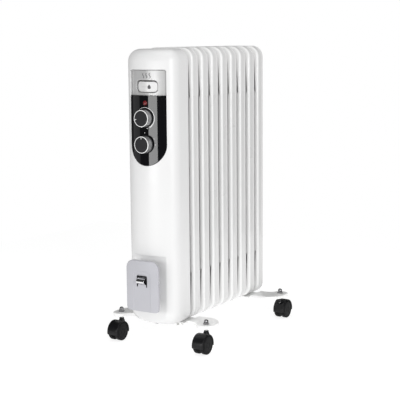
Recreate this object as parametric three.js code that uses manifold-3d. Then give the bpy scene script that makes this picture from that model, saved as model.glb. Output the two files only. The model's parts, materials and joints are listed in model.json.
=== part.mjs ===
// Oil filled radiator heater: nine flanged fins on two headers, a control cover at the front,
// two steel foot brackets and four twin-wheel castors.
// Units are millimetres. +Z is up, the controls face -Y, X = 0 is the middle of the width, the
// floor is Z = 0, and the origin is under the middle of the object.

import * as THREE from "three";
import { mergeVertices } from "three/addons/utils/BufferGeometryUtils.js";
import Module from "manifold-3d";

const wasm = await Module();
wasm.setup();

// ---------------------------------------------------------------- driving dimensions

const GAP = 0.3; // between solids that touch on the real object
const CUT = 2; // how far a cutting tool runs past the face it cuts

// Fins: rounded panels with a flange all round, a pocket front and rear, and an oil chamber of two
// headers joined by three columns. Heights named in these blocks are above the fins' bottoms.
const FIN = { count: 9, pitch: 40, width: 119, height: 580, depth: 25.4, corner: 26, round: 4 };
const FIN_FLOOR = 56; // fins' bottoms above the floor
const FIN_SHEET = 1.5;
const FIN_LIP = 6.3; // how far the flange turns in over a pocket
const FIN_HEADER = 101; // height of the flush band at each end
const FIN_CAVITY = 4; // oil chamber's side wall, with the rounding of the flange in it
const COLUMN = { spacing: 33.5, half: 10.8, flat: 7.8, depth: 6 };
const END_FIN_INSET = 5; // the fin inside the cover is smaller all round
const HEADER = { axis: 50, bore: 15, tube: 18.5, sides: 10 };

// Front cover: a shell with a convex front and rounded edges
const COVER = { half: 61.5, depth: 68, height: 577.7, wall: 2, corner: 28, round: 26, crown: 90 };
const COVER_PAST_END_FIN = 9.3; // rear edge behind the end fin's middle
const RECESS = { top: 150, setBack: 9.6 };

// Control panel in the cover's front
const PANEL = { half: 44.5, top: 535.5, split: 483, bottom: 338, collar: 11, collarWall: 1.8 };
const BEZEL = { setBack: 4.5, wall: 2.6 };
const FASCIA = { setBack: 0.4, wall: 2.6 };
const ROCKER = { x: -0.5, z: 501.5, width: 54, height: 25, corner: 9, play: 1.2, tilt: 6 };
const ROCKER_TUB = { wall: 1.3, depth: 10 };
const ROCKER_BODY = { apex: 7, fall: 6.6, side: 5, pivotIn: 6.6, clear: 0.9 };
const ROCKER_PIN = { radius: 1.4, past: 1.4 }; // past the button's top and bottom
const ROCKER_FINGER = { half: 2, reach: 12 };
const ROCKER_SWITCH = { half: 13, tall: 10, behind: 7.8, depth: 16, slot: 5, slotDeep: 6 };
const LAMP = { z: 468, dome: 4.8, body: 4, rise: 3, bulb: 2.4, hollow: 0.8, length: 8 };
const KNOB = { base: 19.6, radius: 17.4, height: 15.6, stand: 0.8, chamfer: 1 };
const KNOB_CAP = { radius: 14.4, recess: 1.6 };
const KNOB_SHAFT = { radius: 3, reach: 26, fascia: 4, block: 3.5 }; // and the holes it passes
const POINTER = { wide: 3, tall: 1.8 };
const THERMOSTAT = { z: 437, pointer: 190 }; // pointer angle from +X, anticlockwise from the front
const POWER = { z: 383, pointer: 90 };
const SWITCH_BLOCK = { half: 15, height: 28, inset: 5, depth: 25 };

// Cord storage low on the cover
const PLATE = { half: 40.3, bottom: 34.5, top: 142.3, topCorner: 18, bottomCorner: 9, rim: 4.5 };
const PLATE_FACE = { ahead: 23.4, wall: 2, bow: 300 }; // ahead of the cover's crown
const PLATE_PAD = { half: 21, top: 119.5, corner: 10, proud: 0.8 };
const PLATE_NOTCH = { low: 91, high: 101, height: 4, deep: 3 };
const SLOT = { half: 13, bottom: 86.8, top: 112.8, corner: 5, tongue: 91.8, tongueHalf: 9.8 };
const CLIP = { half: 9.5, sheet: 1, behind: 3.2, root: 76, low: 91.8, high: 110.8, bulge: 6.2 };
const SPOOL = { half: 21, bottom: 58, top: 112, corner: 10, wall: 2.5 };

// Parts inside the cover
const BACK_PLATE = { half: 54, bottom: 14, top: 562, corner: 24, sheet: 1.2, ahead: 3.6 };
const GLAND = { ahead: 6.5, body: 5, flange: 7.5, bore: 3.2, rise: 2 };
const CUTOUT = { x: 24, z: 260, radius: 9, depth: 9 };
const TILT = { x: -30, z: 60, half: 11, height: 26, depth: 14 };
const ELEMENT = { leg: 7.5, rod: 4, flange: 19, thick: 4, plug: 14, plugIn: 8, head: 12, headOut: 12 };

// Feet
const CASTOR_BASE = { x: 109.5, y: 164.7 }; // stems, from the middle of the fins
const BRACKET = { outer: -2, inner: -52, sheet: 2, raise: 4.5, kneeIn: 53, kneeOut: 61 };
const LOBE = { x: 108, y: 2, radius: 18.5, neck: 72, flange: 6.5, edge: 1.8, shoulder: 16 };
const HOOK = { radius: 3, clear: 1, drop: 14, tail: 10 };
const WING = { body: 5.5, deep: 5, thick: 2.4, reach: 13, tip: 3, root: 4, height: 9 };
const WHEEL = { radius: 20, half: 4.5, offset: 9, bore: 2.5, axle: 2.2, blind: 2.6 };
const HOOD = { outer: 23.5, inner: 21.2, half: 13.6, web: 4, skirt: 12, clear: 1.4 };
const HOOD_COLLAR = { radius: 5.2, top: 27 };
const STEM = { trail: 14, journal: 2.5, journalTop: 19.8, journalEnd: 7, body: 3 };
const STEM_WASHER = { radius: 6, thick: 2 };
const NUT = { flange: 6.8, flat: 1.5, hex: 5.9, hexTop: 5.5, dome: 5, top: 10.5, bore: 3.3 };
const TYRE = { edge: 1, shoulder: 2, tuck: 1.6, drop: 0.5 }; // rounding of a wheel's rim

// ---------------------------------------------------------------- places worked out from them

const FIN_HALF = FIN.width / 2;
const FIN_TOP = FIN_FLOOR + FIN.height;
const finY = (number) => FIN.pitch * (number - 1 - (FIN.count - 1) / 2);
const END_FIN_FRONT = finY(1) - FIN.depth / 2;
const LOW_HEADER = FIN_FLOOR + HEADER.axis;
const HIGH_HEADER = FIN_TOP - HEADER.axis;
const COVER_REAR = finY(1) + COVER_PAST_END_FIN;
const COVER_FRONT = COVER_REAR - COVER.depth;
const CROWN_CENTRE = COVER_FRONT + COVER.crown;
const RECESS_FACE = COVER_FRONT + RECESS.setBack;
const PLATE_FRONT = COVER_FRONT - PLATE_FACE.ahead;
const PLATE_BACK = PLATE_FRONT + PLATE.half ** 2 / (2 * PLATE_FACE.bow) + PLATE.rim;
const BACK_PLATE_FRONT = END_FIN_FRONT - BACK_PLATE.ahead - BACK_PLATE.sheet;
const GLAND_Y = BACK_PLATE_FRONT - GLAND.ahead;
const ROCKER_PIVOT = COVER_FRONT + BEZEL.setBack + ROCKER_BODY.pivotIn;
const FRONTMOST = PLATE_FRONT - CLIP.bulge - CLIP.sheet / 2;
const REARMOST = CASTOR_BASE.y + STEM.trail + HOOD.outer;
const FIN_GAP = FIN.pitch - FIN.depth;

// ---------------------------------------------------------------- solids

const RIGHT_ANGLE = Math.PI / 2;
const radians = THREE.MathUtils.degToRad;

// A closed geometry as a solid for joining and cutting.
function solid(geometry) {
  geometry.deleteAttribute("normal");
  geometry.deleteAttribute("uv");
  const merged = mergeVertices(geometry, 1e-4);
  const corners = merged.getIndex().array;
  const kept = [];
  for (let i = 0; i < corners.length; i += 3) {
    const [a, b, c] = [corners[i], corners[i + 1], corners[i + 2]];
    if (a !== b && b !== c && c !== a) {
      kept.push(a, b, c);
    }
  }
  return new wasm.Manifold(
    new wasm.Mesh({
      numProp: 3,
      vertProperties: merged.getAttribute("position").array,
      triVerts: Uint32Array.from(kept),
    }),
  );
}

const join = (first, ...others) => others.reduce((sum, other) => sum.add(other), first);
const cut = (first, ...others) => others.reduce((left, other) => left.subtract(other), first);

function geometryOf(body) {
  const mesh = body.getMesh();
  const geometry = new THREE.BufferGeometry();
  geometry.setAttribute("position", new THREE.BufferAttribute(mesh.vertProperties, 3));
  geometry.setIndex(new THREE.BufferAttribute(mesh.triVerts, 1));
  geometry.computeVertexNormals();
  return geometry;
}

const extrude = (shape, depth, arcs) =>
  new THREE.ExtrudeGeometry(shape, { depth, bevelEnabled: false, curveSegments: arcs });

// Prisms of a shape: drawn in XZ and run along Y, drawn in XY and run along Z, or drawn in YZ and
// run along X.
const prismY = (shape, from, to, arcs = 2) =>
  solid(extrude(shape, to - from, arcs).rotateX(RIGHT_ANGLE).translate(0, to, 0));
const prismZ = (shape, from, to, arcs = 3) =>
  solid(extrude(shape, to - from, arcs).translate(0, 0, from));
const alongX = new THREE.Matrix4().makeBasis(
  new THREE.Vector3(0, 1, 0),
  new THREE.Vector3(0, 0, 1),
  new THREE.Vector3(1, 0, 0),
);
const prismX = (shape, from, to, arcs = 3) =>
  solid(extrude(shape, to - from, arcs).applyMatrix4(alongX).translate(from, 0, 0));

function block(x0, x1, y0, y1, z0, z1) {
  const box = new THREE.BoxGeometry(x1 - x0, y1 - y0, z1 - z0);
  return solid(box.translate((x0 + x1) / 2, (y0 + y1) / 2, (z0 + z1) / 2));
}

// A rectangle with rounded corners; the lower pair may have a radius of its own.
function plate(left, right, bottom, top, corner, lower = corner) {
  const shape = new THREE.Shape();
  shape.moveTo(left + lower, bottom);
  shape.absarc(right - lower, bottom + lower, lower, -RIGHT_ANGLE, 0, false);
  shape.absarc(right - corner, top - corner, corner, 0, RIGHT_ANGLE, false);
  shape.absarc(left + corner, top - corner, corner, RIGHT_ANGLE, 2 * RIGHT_ANGLE, false);
  shape.absarc(left + lower, bottom + lower, lower, 2 * RIGHT_ANGLE, 3 * RIGHT_ANGLE, false);
  return shape;
}

const polygon = (points) => new THREE.Shape(points.map(([x, y]) => new THREE.Vector2(x, y)));

function disc(x, y, radius, sides = 12) {
  const points = [];
  for (let side = 0; side < sides; side += 1) {
    const turn = (2 * Math.PI * side) / sides;
    points.push([x + radius * Math.cos(turn), y + radius * Math.sin(turn)]);
  }
  return polygon(points);
}

// Turned pieces: a profile of [radius, height], anticlockwise, about Z, about -Y or about +-X.
const turned = (profile, sides, start = 0) =>
  new THREE.LatheGeometry(
    profile.map(([r, h]) => new THREE.Vector2(r, h)),
    sides,
    start,
  );
const turnedZ = (profile, sides = 12) => solid(turned(profile, sides).rotateX(RIGHT_ANGLE));
const KNOB_SIDES = 20;
const turnedForward = (profile, x, y, z, sides = KNOB_SIDES) =>
  solid(turned(profile, sides).rotateX(Math.PI).translate(x, y, z));

// A wheel's radii are to its flats, and one flat faces down.
const WHEEL_SIDES = 16;
function turnedX(profile, side) {
  const flatTurn = Math.PI / WHEEL_SIDES;
  const corners = profile.map(([r, h]) => [r / Math.cos(flatTurn), h]);
  return solid(turned(corners, WHEEL_SIDES, flatTurn).rotateZ(-side * RIGHT_ANGLE));
}

// Quarter ellipse that ends a turned profile: from a rim up to the axis.
function domed(radius, rim, top, steps = 3) {
  const points = [];
  for (let step = 1; step < steps; step += 1) {
    const turn = (RIGHT_ANGLE * step) / steps;
    points.push([radius * Math.cos(turn), rim + (top - rim) * Math.sin(turn)]);
  }
  points.push([0, top]);
  return points;
}

const rodY = (x, z, radius, from, to, sides = HEADER.sides) =>
  prismY(disc(x, z, radius, sides), from, to);

// A round bar bent along a path.
const ROD_SIDES = 8;
function bar(path, radius, steps) {
  const section = disc(0, 0, radius, ROD_SIDES);
  const options = { extrudePath: path, steps, bevelEnabled: false };
  return solid(new THREE.ExtrudeGeometry(section, options));
}

// ---------------------------------------------------------------- the assembly

const heater = new THREE.Group();
const finish = (color, roughness, metalness = 0) =>
  new THREE.MeshStandardMaterial({ color, roughness, metalness });

function place(group, name, body, material) {
  const mesh = new THREE.Mesh(geometryOf(body), material);
  mesh.name = name;
  group.add(mesh);
  return mesh;
}

const paintedSteel = () => finish(0xf2f2f0, 0.38);
const moulding = () => finish(0xf4f4f4, 0.3);
const blackGloss = () => finish(0x141416, 0.08);
const blackNylon = () => finish(0x26262a, 0.5);
const greyMoulding = () => finish(0xb9b9c0, 0.42, 0.15);
const bareSteel = () => finish(0xb8b8b4, 0.3, 1);
const chrome = () => finish(0xdcdcdc, 0.08, 1);
const beigePlastic = () => finish(0xd8d2c0, 0.6);

// ---------------------------------------------------------------- fins

// Outline of a fin, or of a slice of it, inset from the fin's own edge.
const finOutline = (inset, bottom = 0, top = FIN.height) =>
  plate(
    inset - FIN_HALF,
    FIN_HALF - inset,
    FIN_FLOOR + bottom + inset,
    FIN_FLOOR + top - inset,
    FIN.corner - inset,
  );

function finShell(inset) {
  const options = {
    depth: FIN.depth - 2 * FIN.round,
    bevelThickness: FIN.round,
    bevelSize: FIN.round,
    bevelOffset: -FIN.round,
    bevelSegments: 2,
    curveSegments: 2,
  };
  const shell = new THREE.ExtrudeGeometry(finOutline(inset), options);
  return solid(shell.rotateX(RIGHT_ANGLE).translate(0, FIN.depth / 2 - FIN.round, 0));
}

// Three columns between the headers, shrunk by a wall where they are the space inside.
function columns(wall, from, to) {
  const { spacing, half, flat, depth } = COLUMN;
  const section = [
    [wall - half, 0],
    [wall - flat, wall - depth],
    [flat - wall, wall - depth],
    [half - wall, 0],
    [flat - wall, depth - wall],
    [wall - flat, depth - wall],
  ];
  const at = (x) => prismZ(polygon(section.map(([u, v]) => [x + u, v])), from, to);
  return join(at(-spacing), at(0), at(spacing));
}

const POCKET_LOW = FIN_FLOOR + FIN_HEADER;
const POCKET_HIGH = FIN_TOP - FIN_HEADER;

// Space in front of the web (side -1) or behind it (side 1), entered past the flange's lips.
function pocket(side, inset) {
  const mouth = FIN_HALF - inset - FIN_LIP;
  const wide = FIN_HALF - inset - FIN_SHEET;
  const face = FIN.depth / 2;
  const span = (near, far) => [Math.min(side * near, side * far), Math.max(side * near, side * far)];
  const opening = prismY(
    plate(-mouth, mouth, POCKET_LOW, POCKET_HIGH, FIN_LIP),
    ...span(face - FIN_SHEET - 0.1, face + CUT),
    1,
  );
  const [near, far] = span(FIN_SHEET, face - FIN_SHEET);
  const chamber = block(-wide, wide, near, far, POCKET_LOW, POCKET_HIGH);
  return cut(join(opening, chamber), columns(0, POCKET_LOW - CUT, POCKET_HIGH + CUT));
}

function oilChamber(inset) {
  const inside = FIN.depth / 2 - FIN_SHEET;
  const whole = prismY(finOutline(inset + FIN_CAVITY), -inside, inside, 1);
  const low = POCKET_LOW - FIN_SHEET;
  const high = POCKET_HIGH + FIN_SHEET;
  const headers = cut(whole, block(-FIN_HALF, FIN_HALF, -FIN_HALF, FIN_HALF, low, high));
  return join(headers, columns(FIN_SHEET, low - CUT, high + CUT));
}

// One fin about its own middle. A header tube behind it reaches the next fin.
function fin(number) {
  const first = number === 1;
  const last = number === FIN.count;
  const inset = first ? END_FIN_INSET : 0;
  const rear = FIN.depth / 2;
  const tubeEnd = rear + FIN_GAP - GAP;
  let body = finShell(inset);
  if (!last) {
    const tube = (z) => rodY(0, z, HEADER.tube, rear - FIN_SHEET, tubeEnd);
    body = join(body, tube(LOW_HEADER), tube(HIGH_HEADER));
  }
  const boreEnd = last ? 0 : tubeEnd + CUT;
  const boreStart = -rear - CUT;
  return cut(
    body,
    pocket(-1, inset),
    pocket(1, inset),
    oilChamber(inset),
    rodY(0, LOW_HEADER, HEADER.bore, boreStart, boreEnd),
    rodY(0, HIGH_HEADER, HEADER.bore, first ? 0 : boreStart, boreEnd),
  );
}

for (let number = 1; number <= FIN.count; number += 1) {
  place(heater, `fin_${number}`, fin(number), paintedSteel()).position.y = finY(number);
}

// Half ring of round bar in the plane z = height (flat) or y = height (upright).
function halfRing(reach, radius, height, upright, steps) {
  const arc = [];
  for (let step = 0; step <= steps; step += 1) {
    const turn = (step * Math.PI) / steps;
    const [u, v] = [reach * Math.cos(turn), reach * Math.sin(turn)];
    arc.push(upright ? new THREE.Vector3(u, height, v) : new THREE.Vector3(u, v, height));
  }
  return bar(new THREE.CatmullRomCurve3(arc), radius, steps);
}

// Tubular element: a U of rod along the lower header, on a flange that closes the header's end.
function heatingElement() {
  const { leg, rod, flange, thick, plug, plugIn, head, headOut } = ELEMENT;
  const start = END_FIN_FRONT - GAP;
  const bend = finY(FIN.count) - FIN.depth;
  const sunk = 1; // each piece is set into the flange
  return join(
    rodY(leg, LOW_HEADER, rod, start - sunk, bend, ROD_SIDES),
    rodY(-leg, LOW_HEADER, rod, start - sunk, bend, ROD_SIDES),
    halfRing(leg, rod, LOW_HEADER, false, 6).translate([0, bend, 0]),
    rodY(0, LOW_HEADER, plug, start - sunk, start + plugIn),
    rodY(0, LOW_HEADER, flange, start - thick, start),
    rodY(0, LOW_HEADER, head, start - thick - headOut, start - thick + sunk, 6),
  );
}
place(heater, "heating_element", heatingElement(), bareSteel());

// ---------------------------------------------------------------- front cover

// Plan of the cover, open side to the rear, every other side inset. The crown meets each corner
// where the two arcs have the same tangent.
function coverPlan(inset, rear) {
  const lean = Math.asin((COVER.half - COVER.corner) / (COVER.crown - COVER.corner));
  const cornerX = COVER.half - COVER.corner;
  const cornerY = CROWN_CENTRE - (COVER.crown - COVER.corner) * Math.cos(lean);
  const corner = COVER.corner - inset;
  const crown = COVER.crown - inset;
  const half = COVER.half - inset;
  const cornerSteps = 3;
  const crownSteps = 8;
  const points = [[-half, rear]];
  for (let step = 0; step <= cornerSteps; step += 1) {
    const turn = ((RIGHT_ANGLE - lean) * step) / cornerSteps;
    points.push([-cornerX - corner * Math.cos(turn), cornerY - corner * Math.sin(turn)]);
  }
  for (let step = 1; step < crownSteps; step += 1) {
    const turn = lean * ((2 * step) / crownSteps - 1);
    points.push([crown * Math.sin(turn), CROWN_CENTRE - crown * Math.cos(turn)]);
  }
  for (let step = cornerSteps; step >= 0; step -= 1) {
    const turn = ((RIGHT_ANGLE - lean) * step) / cornerSteps;
    points.push([cornerX + corner * Math.cos(turn), cornerY - corner * Math.sin(turn)]);
  }
  points.push([half, rear]);
  return points;
}

// Closed solid through rings of [x, y] points, each at its own height, lowest first.
function loft(rings) {
  const size = rings[0].points.length;
  const positions = rings.flatMap(({ points, z }) => points.flatMap(([x, y]) => [x, y, z]));
  const index = [];
  for (let ring = 1; ring < rings.length; ring += 1) {
    for (let point = 0; point < size; point += 1) {
      const next = (point + 1) % size;
      const low = (ring - 1) * size;
      const high = ring * size;
      index.push(low + point, low + next, high + next);
      index.push(low + point, high + next, high + point);
    }
  }
  const lid = (ring, upward) => {
    const contour = rings[ring].points.map(([x, y]) => new THREE.Vector2(x, y));
    for (const [a, b, c] of THREE.ShapeUtils.triangulateShape(contour, [])) {
      const corners = upward ? [a, b, c] : [a, c, b];
      index.push(...corners.map((corner) => ring * size + corner));
    }
  };
  lid(0, false);
  lid(rings.length - 1, true);
  const geometry = new THREE.BufferGeometry();
  geometry.setAttribute("position", new THREE.Float32BufferAttribute(positions, 3));
  geometry.setIndex(index);
  return solid(geometry);
}

// The cover's outer form, inset: 0 is its outside, its wall is its inside.
function coverForm(inset, rear = COVER_REAR + CUT) {
  const round = COVER.round - inset;
  const bottom = FIN_FLOOR + inset;
  const top = FIN_FLOOR + COVER.height - inset;
  const steps = 4;
  const rings = [];
  for (let step = 0; step <= steps; step += 1) {
    const turn = (RIGHT_ANGLE * step) / steps;
    const rim = inset + round * (1 - Math.sin(turn));
    rings.push({ points: coverPlan(rim, rear), z: bottom + round * (1 - Math.cos(turn)) });
  }
  for (let step = steps; step >= 0; step -= 1) {
    const turn = (RIGHT_ANGLE * step) / steps;
    const rim = inset + round * (1 - Math.sin(turn));
    rings.push({ points: coverPlan(rim, rear), z: top - round * (1 - Math.cos(turn)) });
  }
  return loft(rings);
}

const coverSkin = (outer, inner) => cut(coverForm(outer), coverForm(inner, COVER_REAR + 2 * CUT));

// Outline of the control panel with its round lower end.
function panelOutline(inset, bottom = PANEL.bottom, top = PANEL.top) {
  const half = PANEL.half - inset;
  const shape = new THREE.Shape();
  const low = FIN_FLOOR + bottom;
  const high = FIN_FLOOR + top - inset;
  shape.moveTo(half, high);
  shape.lineTo(-half, high);
  shape.absarc(0, low + PANEL.half, half, Math.PI, 2 * Math.PI, false);
  return shape;
}

const PANEL_DEEP = COVER_FRONT + 25; // behind every piece of the panel's skin
const throughPanel = (shape, arcs = 3) => prismY(shape, COVER_FRONT - CUT, PANEL_DEEP, arcs);
const rockerOutline = (grow) =>
  plate(
    ROCKER.x - ROCKER.width / 2 - grow,
    ROCKER.x + ROCKER.width / 2 + grow,
    FIN_FLOOR + ROCKER.z - ROCKER.height / 2 - grow,
    FIN_FLOOR + ROCKER.z + ROCKER.height / 2 + grow,
    ROCKER.corner + grow,
  );

function frontCover() {
  const wide = COVER.half + CUT;
  const recess = (setBack, top) =>
    block(-wide, wide, COVER_FRONT - CUT, RECESS_FACE + setBack, 0, FIN_FLOOR + top);
  const outside = cut(coverForm(0, COVER_REAR), recess(0, RECESS.top));
  const inside = cut(coverForm(COVER.wall), recess(COVER.wall, RECESS.top + COVER.wall));
  const collar = throughPanel(panelOutline(-PANEL.collarWall));
  const glandHole = prismZ(disc(0, GLAND_Y, GLAND.body + GAP), FIN_FLOOR - CUT, FIN_FLOOR + 2 * CUT);
  return cut(
    join(cut(outside, inside), coverSkin(1, PANEL.collar).intersect(collar)),
    throughPanel(panelOutline(0)),
    glandHole,
  );
}

place(heater, "front_cover", frontCover(), moulding());

function coverBackPlate() {
  const { half, bottom, top, corner, sheet } = BACK_PLATE;
  const outline = plate(-half, half, FIN_FLOOR + bottom, FIN_FLOOR + top, corner);
  return cut(
    prismY(outline, BACK_PLATE_FRONT, BACK_PLATE_FRONT + sheet),
    rodY(0, LOW_HEADER, ELEMENT.flange + CUT, BACK_PLATE_FRONT - CUT, END_FIN_FRONT),
    rodY(0, HIGH_HEADER, HEADER.bore, BACK_PLATE_FRONT - CUT, END_FIN_FRONT),
  );
}
place(heater, "cover_back_plate", coverBackPlate(), bareSteel());

// ---------------------------------------------------------------- control panel

function controlBezel() {
  const low = FIN_FLOOR + PANEL.split + GAP;
  const high = FIN_FLOOR + PANEL.top - GAP;
  const half = PANEL.half - GAP;
  const face = block(-half, half, COVER_FRONT - CUT, PANEL_DEEP, low, high);
  const skin = coverSkin(BEZEL.setBack, BEZEL.setBack + BEZEL.wall).intersect(face);
  const tubBack = BEZEL.setBack + ROCKER_TUB.depth;
  const tubOutline = throughPanel(rockerOutline(ROCKER_TUB.wall));
  const tub = coverSkin(BEZEL.setBack + 1, tubBack).intersect(tubOutline);
  const pinHole = disc(ROCKER.x, ROCKER_PIVOT, ROCKER_PIN.radius + GAP);
  const pinReach = ROCKER.height / 2 + CUT;
  return cut(
    join(skin, tub),
    throughPanel(rockerOutline(0)),
    prismZ(pinHole, FIN_FLOOR + ROCKER.z - pinReach, FIN_FLOOR + ROCKER.z + pinReach),
  );
}
place(heater, "control_bezel", controlBezel(), finish(0xe6e6e6, 0.25, 0.2));

function controlFascia() {
  const outline = panelOutline(GAP, PANEL.bottom, PANEL.split);
  const hole = (z, radius) => rodY(0, FIN_FLOOR + z, radius, COVER_FRONT - CUT, PANEL_DEEP);
  return cut(
    coverSkin(FASCIA.setBack, FASCIA.setBack + FASCIA.wall).intersect(throughPanel(outline)),
    hole(THERMOSTAT.z, KNOB_SHAFT.fascia),
    hole(POWER.z, KNOB_SHAFT.fascia),
    hole(LAMP.z, LAMP.body + GAP),
  );
}
place(heater, "control_fascia", controlFascia(), blackGloss());

// Rocker with its left end pressed in. Its front is a shallow V, it tips on two pins, and a finger
// behind them works the switch.
function rockerButton() {
  const { apex, fall, side, clear } = ROCKER_BODY;
  const half = ROCKER.width / 2 - ROCKER.play;
  const rest = radians(-ROCKER.tilt);
  const turn = ([x, y]) => [
    ROCKER.x + x * Math.cos(rest) + y * Math.sin(rest),
    ROCKER_PIVOT - y * Math.cos(rest) + x * Math.sin(rest),
  ];
  const back = apex - fall - side;
  const finger = ROCKER_FINGER.half;
  const section = [
    [0, apex],
    [-half, apex - fall],
    [-half, back],
    [-finger, back],
    [-finger, -ROCKER_FINGER.reach],
    [finger, -ROCKER_FINGER.reach],
    [finger, back],
    [half, back],
    [half, apex - fall],
  ];
  const middle = FIN_FLOOR + ROCKER.z;
  const tall = ROCKER.height / 2 - clear;
  const pinReach = tall + ROCKER_PIN.past;
  const pin = disc(ROCKER.x, ROCKER_PIVOT, ROCKER_PIN.radius);
  return join(
    prismZ(polygon(section.map(turn)), middle - tall, middle + tall).intersect(
      throughPanel(rockerOutline(-clear), 2),
    ),
    prismZ(pin, middle - pinReach, middle + pinReach),
  );
}
place(heater, "rocker_button", rockerButton(), finish(0xececec, 0.3));

function rockerSwitchBody() {
  const { half, tall, behind, depth, slot, slotDeep } = ROCKER_SWITCH;
  const { x } = ROCKER;
  const front = ROCKER_PIVOT + behind;
  const middle = FIN_FLOOR + ROCKER.z;
  const through = tall + CUT;
  return cut(
    block(x - half, x + half, front, front + depth, middle - tall, middle + tall),
    block(x - slot, x + slot, front - CUT, front + slotDeep, middle - through, middle + through),
  );
}
place(heater, "rocker_switch_body", rockerSwitchBody(), finish(0x2a2a2c, 0.5));

// Tapered knob with its moulded shaft, a well for the cap and a pointer notch in the rim.
function knob(z, pointer) {
  const { base, radius, height, stand, chamfer } = KNOB;
  const well = KNOB_CAP.radius + GAP;
  const profile = [
    [0, -KNOB_SHAFT.reach],
    [KNOB_SHAFT.radius, -KNOB_SHAFT.reach],
    [KNOB_SHAFT.radius, 0],
    [base, 0],
    [radius, height - chamfer],
    [radius - chamfer, height],
    [well, height],
    [well, height - KNOB_CAP.recess],
    [0, height - KNOB_CAP.recess],
  ];
  const body = turnedForward(profile, 0, COVER_FRONT - stand, FIN_FLOOR + z);
  const notch = new THREE.BoxGeometry(POINTER.wide, 2 * CUT, POINTER.tall);
  notch.translate(radius, 0, 0);
  notch.rotateY(-radians(pointer));
  notch.translate(0, COVER_FRONT - stand - height, FIN_FLOOR + z);
  return cut(body, solid(notch));
}

const KNOB_FACE = COVER_FRONT - KNOB.stand - KNOB.height;
const KNOB_CAP_BACK = KNOB_FACE + KNOB_CAP.recess - GAP;
const knobCap = (z) =>
  rodY(0, FIN_FLOOR + z, KNOB_CAP.radius, KNOB_FACE, KNOB_CAP_BACK, KNOB_SIDES);

function switchBlock(z) {
  const front = COVER_FRONT + SWITCH_BLOCK.inset;
  const rear = front + SWITCH_BLOCK.depth;
  const low = FIN_FLOOR + z - SWITCH_BLOCK.height / 2;
  return cut(
    block(-SWITCH_BLOCK.half, SWITCH_BLOCK.half, front, rear, low, low + SWITCH_BLOCK.height),
    rodY(0, FIN_FLOOR + z, KNOB_SHAFT.block, front - CUT, rear - CUT),
  );
}

const dials = [
  { name: "thermostat", block: "thermostat_body", ...THERMOSTAT },
  { name: "power", block: "power_switch_body", ...POWER },
];
for (const dial of dials) {
  place(heater, `${dial.name}_knob`, knob(dial.z, dial.pointer), finish(0xc9c9c9, 0.22, 0.9));
  place(heater, `${dial.name}_knob_cap`, knobCap(dial.z), finish(0x3a3a3c, 0.45));
  place(heater, dial.block, switchBlock(dial.z), beigePlastic());
}

// Domed lens with a hollow stem, and the neon lamp inside it.
function indicatorLens() {
  const { dome, body, rise, bulb, hollow, length } = LAMP;
  const profile = [
    [0, hollow],
    [bulb + GAP, hollow],
    [bulb + GAP, -length],
    [body, -length],
    [body, 0],
    [dome, 0],
    ...domed(dome, 0, rise),
  ];
  return turnedForward(profile, 0, COVER_FRONT, FIN_FLOOR + LAMP.z, 12);
}
place(heater, "indicator_lens", indicatorLens(), finish(0xb01020, 0.1));
const bulb = rodY(0, FIN_FLOOR + LAMP.z, LAMP.bulb, COVER_FRONT, COVER_FRONT + 2 * LAMP.length, 8);
place(heater, "indicator_lamp", bulb, finish(0xe08040, 0.1));

// ---------------------------------------------------------------- cord storage

// Solid bounded by the plate's bowed face, set back, between an outline's edges.
function bowed(outline, setBack, rear) {
  const radius = PLATE_FACE.bow - setBack;
  const sweep = Math.asin((PLATE.half + CUT) / radius);
  const centre = PLATE_FRONT + PLATE_FACE.bow;
  const steps = 6;
  const points = [];
  for (let step = 0; step <= steps; step += 1) {
    const turn = sweep * ((2 * step) / steps - 1);
    points.push([radius * Math.sin(turn), centre - radius * Math.cos(turn)]);
  }
  points.push([PLATE.half + CUT, rear], [-PLATE.half - CUT, rear]);
  const face = prismZ(polygon(points), FIN_FLOOR, FIN_FLOOR + PLATE.top + CUT);
  return face.intersect(prismY(outline, PLATE_FRONT - CUT, rear + CUT, 3));
}

function cordPlate() {
  const { half, bottom, top, topCorner, bottomCorner } = PLATE;
  const outline = (inset) =>
    plate(
      inset - half,
      half - inset,
      FIN_FLOOR + bottom + inset,
      FIN_FLOOR + top - inset,
      topCorner - inset,
      bottomCorner - inset,
    );
  const { proud, corner } = PLATE_PAD;
  const padLow = FIN_FLOOR + bottom + 1;
  const pad = plate(-PLATE_PAD.half, PLATE_PAD.half, padLow, FIN_FLOOR + PLATE_PAD.top, corner, 1);
  const wall = PLATE_FACE.wall;
  const shell = cut(bowed(outline(0), 0, PLATE_BACK), bowed(outline(wall), wall, PLATE_BACK + CUT));
  const raised = bowed(pad, -proud, PLATE_FRONT + wall + GAP);
  const windowLow = FIN_FLOOR + SLOT.bottom;
  const window = plate(-SLOT.half, SLOT.half, windowLow, FIN_FLOOR + SLOT.top, SLOT.corner, 1);
  const front = PLATE_FRONT - CUT;
  const rear = PLATE_FRONT + 2 * CUT;
  const tongueHigh = FIN_FLOOR + SLOT.tongue;
  const tongue = block(-SLOT.tongueHalf, SLOT.tongueHalf, front, rear, windowLow - CUT, tongueHigh);
  const notches = [PLATE_NOTCH.low, PLATE_NOTCH.high].map((z) =>
    block(
      -half - CUT,
      half + CUT,
      PLATE_BACK - PLATE_NOTCH.deep,
      PLATE_BACK + CUT,
      FIN_FLOOR + z,
      FIN_FLOOR + z + PLATE_NOTCH.height,
    ),
  );
  return cut(join(shell, raised), cut(prismY(window, front, rear), tongue), ...notches);
}
place(heater, "cord_plate", cordPlate(), greyMoulding());

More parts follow.
